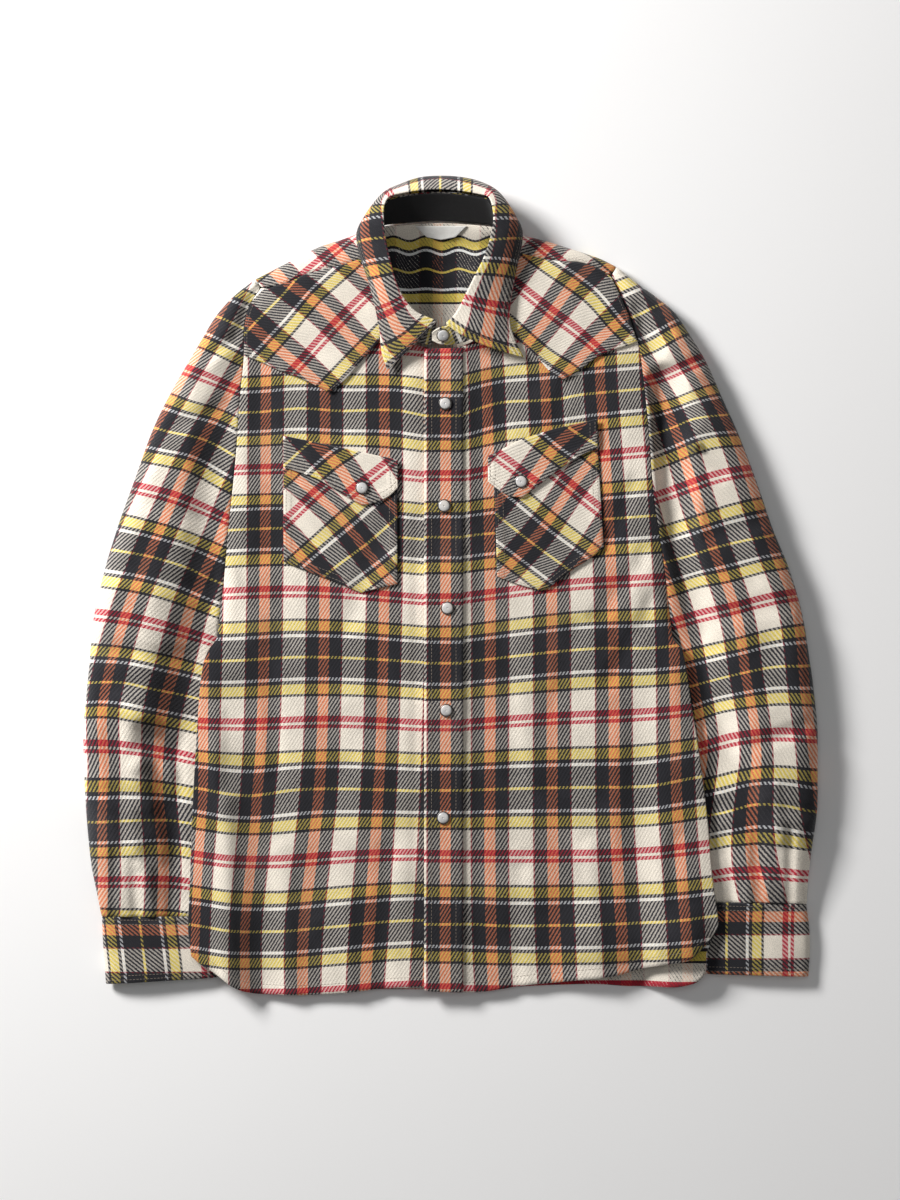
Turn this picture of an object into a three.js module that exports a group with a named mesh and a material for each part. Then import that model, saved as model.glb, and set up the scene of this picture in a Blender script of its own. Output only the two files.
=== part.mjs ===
import * as THREE from 'three'

// Western snap shirt, laid flat on its back with its front snapped up and its sleeves beside it.
// Millimetres, +Z up. The origin is on the surface that it lies on, below the middle of its outline.
// Left and right are the wearer's: the wearer's right is at -X, and the collar is at +Y.

const RIGHT = -1
const LEFT = 1

// Cloth and sewing
const CLOTH = 1.4
const CUFF_CLOTH = 2
const LINING_CLOTH = 1
const LABEL_CLOTH = 0.8
const SEAM = 0.4
const ON_TOP = CLOTH + 0.45
const LAP = CLOTH + 1.1

// Rolls at the edges of the laid body
const SIDE_ROLL = 16
const SIDE_RAMP = 32
const BACK_RAMP = 36
const SHOULDER_ROLL = 28
const SHOULDER_FOLD = 7

// Front band
const BAND_LEFT = 11.5
const BAND_RIGHT = -24.5
const UNDERLAP = 9

// Snaps
const SNAP_CAP_RADIUS = 5.2
const SNAP_RING_RADIUS = 6.3
const SNAP_RING_BORE = 5.4
const SNAP_CAP_HEIGHT = 2.1
const SNAP_RING_HEIGHT = 1.3
const SNAP_SIDES = 12

const table = (columns, rows) => rows.map(row => {
  return Object.fromEntries(columns.map((name, i) => [name, row[i]]))
})
const lerp = (a, b, t) => a + (b - a) * t
const clamp = (t, low = 0, high = 1) => Math.min(high, Math.max(low, t))
const smooth = t => clamp(t) ** 2 * (3 - 2 * clamp(t))
const quarter = t => Math.sqrt(1 - (1 - clamp(t)) ** 2)
const ease = t => 1 - (1 - clamp(t)) ** 2.2

// Smooth curve through one column of a table, level beyond its ends
function column(rows, key, value) {
  const sorted = [...rows].sort((a, b) => a[key] - b[key])
  const ks = sorted.map(row => row[key])
  const vs = sorted.map(row => row[value])
  const last = ks.length - 1
  const slopes = ks.slice(1).map((k, i) => (vs[i + 1] - vs[i]) / (k - ks[i]))
  const tangents = vs.map((v, i) => {
    if (i === 0) return slopes[0]
    if (i === last) return slopes[last - 1]
    const [before, after] = [slopes[i - 1], slopes[i]]
    return before * after <= 0 ? 0 : 2 * before * after / (before + after)
  })
  return k => {
    if (k <= ks[0]) return vs[0]
    if (k >= ks[last]) return vs[last]
    const i = ks.findIndex((start, n) => k < ks[n + 1])
    const span = ks[i + 1] - ks[i]
    const t = (k - ks[i]) / span
    const a = vs[i] * (1 + 2 * t) * (1 - t) ** 2 + vs[i + 1] * t * t * (3 - 2 * t)
    return a + span * (tangents[i] * t * (1 - t) ** 2 - tangents[i + 1] * t * t * (1 - t))
  }
}

const steps = count => Array.from({ length: count + 1 }, (_, i) => i / count)

// Side of the body: armhole down to the underarm, then the side seam
// x: the seam, front and back: outer faces there, shelf: raised strip over the sleeve, ledge: its width
const UNDERARM = -30
const SIDE_COLUMNS = ['y', 'x', 'front', 'back', 'shelf', 'ledge']
const SIDES = {
  [RIGHT]: table(SIDE_COLUMNS, [
    [282, -181, 12, 0, 14, 12],
    [270, -189, 14, 0, 15.5, 12],
    [256, -194, 15, 0, 16, 12],
    [240, -196, 15.5, 0, 16.5, 12],
    [224, -196, 16, 0, 16.5, 12],
    [177, -200, 16, 0, 16.5, 14],
    [120, -204, 16, 0, 16.5, 14],
    [53, -211, 14.5, 0.5, 16, 16],
    [10, -215, 11.5, 2.5, 15, 18],
    [-30, -220, 8.6, 5.4, 14.5, 22],
    [-49, -222, 12, 8.9, 14.5, 20],
    [-61, -230, 12.9, 9.8, 14.8, 20],
    [-75, -235, 13.3, 10.2, 15, 20],
    [-99, -238, 13.4, 10.3, 15, 21],
    [-156, -242, 13.4, 10.3, 15, 26],
    [-213, -245, 13.4, 10.3, 15, 32],
    [-270, -247, 13.8, 10.6, 15.2, 38],
    [-298, -248, 15, 11.9, 16, 40],
    [-322, -249, 16, 12.9, 17, 38],
    [-351, -246, 16.2, 13, 17, 32]
  ]),
  [LEFT]: table(SIDE_COLUMNS, [
    [294, 153, 12, 0, 14, 12],
    [281, 159, 14, 0, 15.5, 12],
    [269, 164, 15, 0, 16, 12],
    [255, 170, 15.5, 0, 16.5, 12],
    [241, 174, 16, 0, 16.5, 12],
    [226, 179, 16, 0, 16.5, 12],
    [196, 183, 16, 0, 16.5, 14],
    [148, 188, 16, 0, 16.5, 14],
    [82, 193, 16, 0, 16.5, 14],
    [44, 199, 14.5, 0.5, 16, 16],
    [10, 204, 11.5, 2.5, 15, 18],
    [-30, 209, 8.6, 5.4, 14.5, 22],
    [-49, 211, 12, 8.9, 14.5, 20],
    [-61, 220, 12.9, 9.8, 14.8, 20],
    [-80, 224, 13.3, 10.2, 15, 22],
    [-108, 228, 13.4, 10.3, 15, 24],
    [-165, 237, 13.4, 10.3, 15, 30],
    [-232, 245, 13.4, 10.3, 15, 36],
    [-260, 247, 14.2, 11, 15.5, 38],
    [-289, 250, 15.8, 12.7, 16.8, 38],
    [-322, 254, 16.2, 13, 17, 34],
    [-339, 243, 16.2, 13, 17, 28]
  ])
}

// Shoulder fold as seen from above
const SHOULDERS = {
  [RIGHT]: table(['x', 'y'], [
    [-187, 291], [-162, 304], [-143, 314], [-124, 323], [-105, 329], [-88, 335], [-75, 339], [-63, 343]
  ]),
  [LEFT]: table(['x', 'y'], [
    [159, 303], [142, 312], [123, 318], [104, 324], [85, 330], [68, 333], [55, 338], [43, 343]
  ])
}

const sides = Object.fromEntries([RIGHT, LEFT].map(side => [side, {
  x: column(SIDES[side], 'y', 'x'),
  front: column(SIDES[side], 'y', 'front'),
  back: column(SIDES[side], 'y', 'back'),
  shelf: column(SIDES[side], 'y', 'shelf'),
  ledge: column(SIDES[side], 'y', 'ledge'),
  top: column(SHOULDERS[side], 'x', 'y')
}]))

// Height of the laid front along its middle, at its outer face
const crown = column(table(['y', 'z'], [
  [-388, 7.7], [-350, 8.6], [-250, 9.8], [-150, 10.9], [-50, 12], [50, 13], [150, 14], [215, 15.5], [260, 16.5],
  [340, 17]
]), 'y', 'z')

// Soft troughs of the front, and ridges where the depth is negative
const FRONT_FOLDS = table(['x0', 'y0', 'x1', 'y1', 'depth', 'reach'], [
  [20.5, 30, 21, -400, 2.4, 14],
  [-206, -100, -178, -390, 2.6, 24],
  [-179, 205, -176, 30, 1.8, 22],
  [-36, 214, -38, 80, -1.6, 18],
  [196, -20, 178, -360, 2.2, 24],
  [-120, -190, -132, -395, 1.2, 26],
  [96, -150, 104, -385, 1.3, 26]
])

// Soft troughs of the sleeves
const SLEEVE_FOLDS = table(['x0', 'y0', 'x1', 'y1', 'depth', 'reach'], [
  [-232, -165, -286, -146, 8, 24],
  [-244, -268, -292, -160, 4, 20],
  [-222, 196, -236, 30, 3, 22],
  [-300, -225, -330, -80, 3, 22],
  [196, 190, 207, 66, 7, 17],
  [208, 196, 228, 158, 4, 15],
  [258, -110, 292, -262, 5, 20],
  [236, -160, 284, -196, 4, 17],
  [250, 60, 300, -60, 3, 26]
])

function foldDepth(folds, x, y) {
  return folds.reduce((sum, fold) => {
    const [dx, dy] = [fold.x1 - fold.x0, fold.y1 - fold.y0]
    const t = clamp(((x - fold.x0) * dx + (y - fold.y0) * dy) / (dx * dx + dy * dy))
    const away = Math.hypot(x - fold.x0 - dx * t, y - fold.y0 - dy * t) / fold.reach
    return away < 1 ? sum + fold.depth * (1 - away * away) ** 2 : sum
  }, 0)
}

// Outer face of the laid front, without laps
function frontHeight(x, y) {
  const side = sides[x < 0 ? RIGHT : LEFT]
  const inset = Math.abs(side.x(y)) - Math.abs(x)
  const raised = lerp(side.shelf(y), crown(y), smooth((inset - side.ledge(y) - 6) / SIDE_RAMP))
  const folded = raised - foldDepth(FRONT_FOLDS, x, y) * smooth(inset / SIDE_ROLL)
  const rolled = lerp(side.front(y), folded, ease(inset / SIDE_ROLL))
  const below = (side.top(x) - y) * 0.9
  return lerp(SHOULDER_FOLD, rolled, quarter(below / SHOULDER_ROLL))
}

// Outer face of the left front, which rides up over the right one
const leftFrontHeight = (x, y) => frontHeight(x, y) + LAP * (1 - smooth((x - UNDERLAP - 3) / 18))

// Outer face of the back, which lies on the surface and rises over the sleeves' inner edges
function backHeight(x, y) {
  const side = sides[x < 0 ? RIGHT : LEFT]
  const inset = Math.abs(side.x(y)) - Math.abs(x)
  return side.back(y) * (1 - smooth((inset - side.ledge(y)) / BACK_RAMP))
}

const look = (colour, roughness, metalness = 0) => ({ colour, roughness, metalness })
const FLANNEL = look('#cbbfa6', 0.9)
const RIBBED = look('#1d1c1f', 0.85)
const WOVEN_LABEL = look('#e8e6df', 0.7)
const PEARL = look('#e9e6e0', 0.25)
const STEEL = look('#b9bbbd', 0.3, 1)

const group = new THREE.Group()

function addMesh(name, points, faces, finish) {
  const geometry = new THREE.BufferGeometry()
  geometry.setAttribute('position', new THREE.Float32BufferAttribute(points.flatMap(p => [p.x, p.y, p.z]), 3))
  geometry.setIndex(faces)
  geometry.computeVertexNormals()
  const material = new THREE.MeshStandardMaterial({
    color: finish.colour,
    roughness: finish.roughness,
    metalness: finish.metalness
  })
  const mesh = new THREE.Mesh(geometry, material)
  mesh.name = name
  group.add(mesh)
}

// Unit normals of a grid of points, on the side given by turn
function gridNormals(grid, turn) {
  const rows = grid.length - 1
  const columns = grid[0].length - 1
  return grid.map((row, i) => row.map((point, j) => {
    const down = grid[Math.min(rows, i + 1)][j].clone().sub(grid[Math.max(0, i - 1)][j])
    const across = row[Math.min(columns, j + 1)].clone().sub(row[Math.max(0, j - 1)])
    return down.cross(across).multiplyScalar(turn).normalize()
  }))
}

const movedOut = (grid, turn, distance) => {
  const normals = gridNormals(grid, turn)
  return grid.map((row, i) => row.map((point, j) => point.clone().addScaledVector(normals[i][j], distance)))
}

// Closed wall of cloth below a grid of outer points
function addCloth(name, grid, turn, finish = FLANNEL, wall = CLOTH) {
  const outer = grid.flat()
  const inner = movedOut(grid, turn, -wall).flat()
  const rows = grid.length
  const columns = grid[0].length
  const count = outer.length
  const faces = []
  const quad = (a, b, c, d) => faces.push(...(turn > 0 ? [a, b, c, a, c, d] : [a, c, b, a, d, c]))
  for (let i = 0; i < rows - 1; i++) {
    for (let j = 0; j < columns - 1; j++) {
      const a = i * columns + j
      const b = a + columns
      quad(a, b, b + 1, a + 1)
      quad(a + count, a + count + 1, b + count + 1, b + count)
    }
  }
  for (let i = 0; i < rows - 1; i++) {
    const a = i * columns
    const b = a + columns
    quad(a, a + count, b + count, b)
    quad(b + columns - 1, b + columns - 1 + count, b - 1 + count, b - 1)
  }
  for (let j = 0; j < columns - 1; j++) {
    const b = (rows - 1) * columns + j
    quad(j + 1, j + 1 + count, j + count, j)
    quad(b, b + count, b + 1 + count, b + 1)
  }
  addMesh(name, [...outer, ...inner], faces, finish)
}

// Grid of points from a place given by two shares
const gridOf = (down, across, place) => down.map(v => across.map(u => place(u, v)))

// Front panels: from the hem up to just under the yoke, and from the side to the centre
const HEMS = {
  [RIGHT]: column(table(['x', 'y'], [
    [-246, -351], [-238, -358], [-227, -365], [-217, -372], [-208, -379], [-195, -385], [-179, -388],
    [-143, -389], [-105, -387], [-54, -382], [9, -381]
  ]), 'x', 'y'),
  [LEFT]: column(table(['x', 'y'], [
    [-24, -384], [-16, -385], [24, -386], [49, -383], [75, -379], [98, -377], [115, -375], [157, -370],
    [178, -364], [202, -359], [224, -355], [243, -340]
  ]), 'x', 'y')
}
const PANEL_TOPS = {
  [RIGHT]: column(table(['x', 'y'], [
    [-196, 228], [-179, 223], [-162, 215], [-143, 208], [-126, 200], [-114, 195], [-100, 206], [-86, 222],
    [-75, 234], [-66, 245], [-60, 249], [-54, 245], [-43, 235], [-29, 227.5], [-19, 225.5], [9, 224]
  ]), 'x', 'y'),
  [LEFT]: column(table(['x', 'y'], [
    [-24, 224.5], [2, 225], [17, 229.5], [31, 240], [38, 247], [44, 252], [51, 252], [66, 243], [76, 236],
    [85, 225], [95, 214], [107, 206], [114, 210], [123, 215], [133, 223], [142, 229], [153, 234],
    [166, 238], [181, 242]
  ]), 'x', 'y')
}
const PANEL_ACROSS = [0, 0.025, 0.06, 0.1, 0.15, 0.21, 0.28, 0.35, 0.43, 0.51, 0.6, 0.69, 0.78, 0.87, 1]
const BAND_ACROSS = [0.33, 0.67, 1]
const BELOW_UNDERARM = [0, 0.035, 0.1, 0.18, 0.28, 0.39, 0.5, 0.62, 0.74, 0.84, 0.9, 0.94, 1]
const ABOVE_UNDERARM = [0.155, 0.32, 0.47, 0.62, 0.76, 0.88, 0.955, 1]

// Shares of a length, with a row where the underarm is
const rowShares = (low, high, above) => {
  const underarm = (UNDERARM - low) / (high - low)
  return [...BELOW_UNDERARM.map(t => t * underarm), ...above.map(t => lerp(underarm, 1, t))]
}

function panelGrid(side, height) {
  const ends = [Math.min(...SIDES[side].map(row => row.y)), PANEL_TOPS[side](side * 300)]
  const edge = side === LEFT ? BAND_LEFT : UNDERLAP
  const stops = side === LEFT ? [...PANEL_ACROSS, ...BAND_ACROSS.map(t => 1 + t)] : PANEL_ACROSS
  return gridOf(rowShares(...ends, ABOVE_UNDERARM), stops, (u, v) => {
    let x = 0
    let y = lerp(...ends, v)
    for (let pass = 0; pass < 12; pass++) {
      x = u > 1 ? lerp(edge, BAND_RIGHT, u - 1) : lerp(sides[side].x(y) - side * SEAM / 2, edge, u)
      y = lerp(HEMS[side](x), PANEL_TOPS[side](x), v)
    }
    return new THREE.Vector3(x, y, height(x, y))
  })
}

const rightPanel = panelGrid(RIGHT, frontHeight)
const leftPanel = panelGrid(LEFT, leftFrontHeight)
addCloth('front_right', rightPanel, RIGHT)
addCloth('front_left', leftPanel, LEFT)

// Front band: the last columns of the left front, moved out
const BAND_COLUMNS = 4
const bandGrid = movedOut(leftPanel.map(row => row.slice(-BAND_COLUMNS)), LEFT, ON_TOP)
addCloth('front_band', bandGrid, LEFT)

// Back panel: from the hem up to the yoke seam, lying on the surface
const backHem = column(table(['x', 'y'], [
  [-246, -352], [-208, -376], [-179, -383], [-10, -384], [137, -379], [173, -381], [210, -381],
  [232, -377], [243, -366], [250, -345]
]), 'x', 'y')
const YOKE_SEAM = 160
const BACK_ACROSS = [0, 0.025, 0.06, 0.09, 0.12, 0.15, 0.2, 0.3, 0.4, 0.5, 0.6, 0.7, 0.8, 0.85, 0.88, 0.91,
  0.94, 0.975, 1]
const BACK_ABOVE = [0.215, 0.445, 0.65, 0.865, 1]
const backRows = rowShares(-350, YOKE_SEAM, BACK_ABOVE)
const backGrid = gridOf(backRows, BACK_ACROSS, (u, v) => {
  let x = 0
  let y = lerp(-350, YOKE_SEAM, v)
  for (let pass = 0; pass < 12; pass++) {
    x = lerp(sides[RIGHT].x(y) + SEAM, sides[LEFT].x(y) - SEAM, u)
    y = lerp(backHem(x), YOKE_SEAM - SEAM / 2, v)
  }
  return new THREE.Vector3(x, y, backHeight(x, y))
})
addCloth('back', backGrid, LEFT)

// Back yoke: from its seam on the back up over the shoulder fold to the shoulder and neck seams
// rise: y where it leaves the surface, mx my mz: the fold, sx sy sz: the seam, fold: 1 where it folds over
const YOKE_STATIONS = table(['rise', 'mx', 'my', 'mz', 'sx', 'sy', 'sz', 'fold'], [
  [284.5, -185.2, 292, 6.5, -179.6, 284, 13, 1],
  [288, -163, 303.5, 6.8, -161.5, 286.2, 14.5, 1],
  [299, -143, 314, 7, -141, 294.7, 16, 1],
  [308, -124, 323, 7, -124, 299.8, 17, 1],
  [314, -105, 329, 7.5, -105, 304, 18, 1],
  [319, -89, 335, 8, -91, 308.5, 18.4, 1],
  [321, -79, 339, 8.5, -82.5, 313, 18.4, 1],
  [322, -72, 342, 8.5, -80, 328, 15.5, 1],
  [323, -65, 343, 7, -73.5, 337.6, 11.5, 0.6],
  [322, -57, 343, 6, -62.5, 341.6, 8.8, 0.2],
  [320, -45, 343, 5, -46, 343, 7.4, 0],
  [320, -28, 344.5, 5, -28, 344.5, 6.8, 0],
  [320, -10, 345.4, 5, -10, 345.4, 6.6, 0],
  [320, 8, 344.5, 5, 8, 344.5, 6.8, 0],
  [320, 26, 343, 5, 26, 343, 7.4, 0],
  [321, 38, 341.6, 6, 40.8, 340.8, 8.8, 0.2],
  [321, 46, 341, 7, 53.4, 334.8, 11.5, 0.6],
  [320, 53, 340, 8.5, 60, 325.6, 15.5, 1],
  [318, 61, 336, 8.5, 62, 317.5, 18.4, 1],
  [315, 72, 332.5, 8, 72, 314.6, 18.4, 1],
  [309, 88, 329, 7.5, 88, 311, 18, 1],
  [303, 106, 323.5, 7, 106, 308.6, 17, 1],
  [298, 123, 318, 7, 123, 307.6, 16, 1],
  [292, 142, 311.5, 6.8, 139, 302.6, 14.5, 1],
  [296.5, 157.2, 304, 6.5, 151.6, 295.8, 13, 1]
])
const YOKE_FLOOR = [0, 0.28, 0.52, 0.76, 1]
const YOKE_FOLD = [0.14, 0.28, 0.42, 0.5, 0.58, 0.72, 0.86, 1]
const yokeGrid = YOKE_STATIONS.map(row => {
  const u = (row.mx - YOKE_STATIONS[0].mx) / (YOKE_STATIONS.at(-1).mx - YOKE_STATIONS[0].mx)
  const across = y => lerp(sides[RIGHT].x(y) + SEAM, sides[LEFT].x(y) - SEAM, u)
  const floor = YOKE_FLOOR.map(t => {
    const y = lerp(YOKE_SEAM + SEAM / 2, row.rise, t)
    return new THREE.Vector3(across(y), y, 0)
  })
  const rise = floor.at(-1)
  const folded = YOKE_FOLD.map(t => {
    const under = Math.min(1, t * 2) * Math.PI / 2
    const over = Math.max(0, t * 2 - 1) * Math.PI / 2
    const arc = new THREE.Vector3(
      lerp(lerp(rise.x, row.mx, Math.sin(under)), row.sx, 1 - Math.cos(over)),
      lerp(lerp(rise.y, row.my, Math.sin(under)), row.sy, 1 - Math.cos(over)),
      lerp(row.mz * (1 - Math.cos(under)), row.sz, Math.sin(over))
    )
    const ramp = new THREE.Vector3(lerp(rise.x, row.sx, t), lerp(rise.y, row.sy, t), row.sz * smooth(t))
    return ramp.lerp(arc, row.fold)
  })
  return [...floor, ...folded]
})
addCloth('back_yoke', yokeGrid, RIGHT)

// Neck label: from the inner face of the back yoke, moved in
const LABEL = { top: 48, bottom: 14, depth: 16, x: -9, y: 342, lift: 0.75 }
const yokeInside = (x, y) => {
  const t = clamp((y - 320) / (345.4 - 320))
  return 7 * smooth(t) + CLOTH
}
addCloth('label', gridOf(steps(4), steps(5), (u, v) => {
  const half = lerp(LABEL.top, LABEL.bottom, v > 0.5 ? (v - 0.5) * 2 : 0) / 2
  const x = LABEL.x + lerp(-half, half, u)
  const y = LABEL.y - LABEL.depth * v - Math.abs(x - LABEL.x) * 0.04
  return new THREE.Vector3(x, y, yokeInside(x, y) + LABEL.lift + LABEL_CLOTH)
}), LEFT, WOVEN_LABEL, LABEL_CLOTH)

// Front yokes: between the pointed lower edge, the shoulder seam, the armhole and the neck
const YOKE_EDGES = {
  [RIGHT]: table(['x', 'y'], [
    [-195, 219], [-179, 213], [-162, 205], [-143, 198], [-126, 190], [-114, 184], [-100, 196], [-86, 212],
    [-75, 224], [-66, 236], [-58, 249]
  ]),
  [LEFT]: table(['x', 'y'], [
    [177, 232], [166, 228], [153, 224], [142, 219], [133, 213], [123, 205], [107, 196], [95, 204],
    [80, 221], [60, 238], [45, 253]
  ])
}
const SHOULDER_SEAMS = {
  [RIGHT]: table(['x', 'y'], [
    [-180.4, 282.6], [-173, 282.6], [-162, 285.6], [-150, 289.4], [-141, 293.9], [-132, 296.7], [-124, 299],
    [-115, 301.3], [-105, 303.2], [-93, 307], [-82.5, 311.6]
  ]),
  [LEFT]: table(['x', 'y'], [
    [152.4, 293.6], [146, 297.5], [139, 301.6], [131, 304.6], [123, 306.6], [114, 307.2], [104, 307.8],
    [94, 309], [84, 311], [73, 313.6], [62, 316.4]
  ])
}
const YOKE_NECKS = {
  [RIGHT]: column(table(['y', 'x'], [
    [249, -58.5], [252, -59.5], [272, -68.5], [295, -77.5], [312, -82.5]
  ]), 'y', 'x'),
  [LEFT]: column(table(['y', 'x'], [
    [253, 44], [270, 50.5], [293, 57.5], [311, 62], [317, 62]
  ]), 'y', 'x')
}
const YOKE_DOWN = steps(7)
for (const side of [RIGHT, LEFT]) {
  const edge = YOKE_EDGES[side]
  const seam = SHOULDER_SEAMS[side]
  const last = edge.length - 1
  const grid = YOKE_DOWN.map(v => edge.map((low, i) => {
    const high = seam[i]
    const u = i / last
    const armY = lerp(edge[0].y, seam[0].y, v)
    const neckY = lerp(edge[last].y, seam[last].y, v)
    const armShift = sides[side].x(armY) - side * SEAM * 1.5 - lerp(edge[0].x, seam[0].x, v)
    const neckShift = YOKE_NECKS[side](neckY) - lerp(edge[last].x, seam[last].x, v)
    const x = lerp(low.x, high.x, v) + lerp(armShift, neckShift, u)
    const y = lerp(low.y, high.y, v)
    return new THREE.Vector3(x, y, frontHeight(x, y) + ON_TOP + 0.3)
  }))
  addCloth(side === RIGHT ? 'front_yoke_right' : 'front_yoke_left', grid, side)
}

// Sleeves: a sheet round each tube, from the armhole to the cuff, with its seam along the underarm
// ax ay: inner edge, top and bottom: outer faces there, ox oy oz: outer fold, shelf and low: the part
// under the body and its width, peak: height of the tube
const SLEEVE_COLUMNS = ['ay', 'ax', 'top', 'bottom', 'ox', 'oy', 'oz', 'shelf', 'low', 'peak']
const SLEEVES = {
  [RIGHT]: table(SLEEVE_COLUMNS, [
    [284, -181, 12, 0, -187, 291, 6.5, 12, 0, 13],
    [270, -189, 14, 0, -200, 281, 6.8, 14, 0, 16],
    [256, -194, 15, 0, -211, 271, 7, 15, 0, 18.5],
    [240, -196, 15.5, 0, -225, 254, 7.4, 15.5, 0, 21],
    [224, -196, 16, 0, -235, 237, 7.8, 16, 0, 22.5],
    [203, -198, 16, 0, -248, 215, 8, 16, 0, 24],
    [177, -200, 16, 0, -263, 189, 8.5, 16, 0, 25],
    [139, -202, 16, 0, -282, 151, 9, 16, 0, 26],
    [91, -207, 15.6, 0, -301, 99, 9.5, 15.6, 0, 27],
    [53, -211, 14.5, 0.5, -316, 57, 10, 14.5, 0, 27],
    [10, -215, 11.5, 2.5, -330, 10, 10, 11.5, 4, 27],
    [-30, -220.6, 8.6, 5.4, -340, -36, 10, 8, 8, 27],
    [-49, -221, 4.7, 1.5, -342, -58, 10, 6.6, 10, 27],
    [-61, -220, 3.6, 0.4, -343, -72, 10, 6.8, 16, 27],
    [-82, -219, 3.3, 0, -345, -92, 10, 7, 22, 26.5],
    [-146, -217, 3.3, 0, -349, -146, 10, 7.2, 31, 26],
    [-203, -213, 3.3, 0, -347, -203, 9.5, 7.2, 37, 25],
    [-260, -209, 3.3, 0, -342, -262, 8.5, 7.2, 42, 21],
    [-292, -208, 3.3, 0, -336, -294, 7.5, 7.4, 42, 17],
    [-314, -210, 3.3, 0, -332, -314, 6.8, 8, 40, 14]
  ]),
  [LEFT]: table(SLEEVE_COLUMNS, [
    [296, 153, 12, 0, 159, 303, 6.5, 12, 0, 13],
    [281, 159, 14, 0, 180, 286, 6.8, 14, 0, 16.5],
    [269, 164, 15, 0, 194, 276, 7, 15, 0, 19],
    [255, 170, 15.5, 0, 213, 260, 7.4, 15.5, 0, 21],
    [241, 174, 16, 0, 228, 238, 7.8, 16, 0, 22.5],
    [215, 180, 16, 0, 242, 215, 8, 16, 0, 24],
    [177, 186, 16, 0, 260, 175, 8.5, 16, 0, 25],
    [148, 188, 16, 0, 273, 146, 9, 16, 0, 26],
    [91, 192, 15.8, 0, 291, 99, 9.5, 15.8, 0, 27],
    [48, 198, 14.6, 0.5, 306, 55, 10, 14.6, 0, 27],
    [10, 204, 11.5, 2.5, 323, 13, 10, 11.5, 4, 27],
    [-30, 209, 8.6, 5.4, 335, -30, 10, 8, 8, 27],
    [-49, 209.5, 4.9, 1.7, 339, -54, 10, 6.6, 10, 27],
    [-61, 209, 3.6, 0.4, 341, -68, 10, 6.8, 16, 27],
    [-82, 208, 3.3, 0, 344, -89, 10, 7, 22, 26.5],
    [-146, 206, 3.3, 0, 349, -146, 10, 7.2, 32, 26],
    [-203, 207, 3.3, 0, 349, -203, 9.5, 7.2, 38, 25],
    [-250, 211, 3.3, 0, 343, -254, 8.5, 7.2, 40, 21],
    [-280, 214, 3.3, 0, 340, -282, 7.5, 7.4, 40, 17],
    [-300, 218, 3.3, 0, 339, -302, 6.8, 8, 38, 14]
  ])
}
const SLEEVE_TOP = [0, 0.08, 0.17, 0.28, 0.4, 0.53, 0.66, 0.78, 0.88, 0.95, 0.985, 1]
const SLEEVE_UNDER = [0.99, 0.96, 0.9, 0.6, 0.3, 0.14, 0]
const PLACKET_LIFT = 1.9
const SLEEVE_ROLL = 22

const sleeveUnderside = (y, cuffY) => PLACKET_LIFT * (1 - smooth((y - cuffY - 130) / 40))

// Rows above the underarm are level with those of the yoke and the front panel
function sleeveRows(side, panel) {
  const sewn = SLEEVES[side]
  const curves = SLEEVE_COLUMNS.map(name => [name, column(sewn, 'ay', name)])
  const panelEnds = panel.map(row => row[0].y).filter(y => y > UNDERARM + 1)
  const yokeTop = sewn[0].ay
  const panelTop = panelEnds.at(-1)
  const ends = [0, 0.14, 0.36, 0.58, 0.8].map(t => lerp(yokeTop, panelTop, t))
  return [...ends, ...panelEnds.reverse(), ...sewn.map(row => row.ay).filter(y => y <= UNDERARM)]
    .map(y => Object.fromEntries(curves.map(([name, curve]) => [name, curve(y)])))
}

function sleeveGrid(side, panel) {
  const cuffY = SLEEVES[side].at(-1).ay
  return sleeveRows(side, panel).map(row => {
    const armhole = row.ay >= UNDERARM
    const edge = armhole ? sides[side].x(row.ay) + side * SEAM : row.ax
    const width = Math.hypot(row.ox - edge, row.oy - row.ay)
    const at = t => [lerp(edge, row.ox, t), lerp(row.ay, row.oy, t)]
    const top = SLEEVE_TOP.map(t => {
      const [x, y] = at(t)
      const d = t * width
      const onShelf = lerp(row.top, row.shelf, smooth(d / 14))
      const raised = lerp(onShelf, row.peak, smooth((d - row.low) / (0.55 * (width - row.low))))
      const folded = raised - foldDepth(SLEEVE_FOLDS, x, y) * smooth((d - row.low - 4) / 12)
      const roll = Math.min(SLEEVE_ROLL, width * 0.45)
      return new THREE.Vector3(x, y, lerp(row.oz, folded, quarter((width - d) / roll)))
    })
    const under = SLEEVE_UNDER.map(share => {
      const t = Math.max(share, SEAM / width)
      const [x, y] = at(t)
      const lift = sleeveUnderside(y, cuffY)
      const flat = lerp(Math.max(row.bottom, lift), lift, smooth(t * width / 26))
      const roll = Math.min(16, width * 0.35)
      return new THREE.Vector3(x, y, lerp(row.oz, flat, quarter((1 - t) * width / roll)))
    })
    return [...top, ...under]
  })
}
addCloth('sleeve_right', sleeveGrid(RIGHT, rightPanel), RIGHT)
addCloth('sleeve_left', sleeveGrid(LEFT, leftPanel), LEFT)

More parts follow.
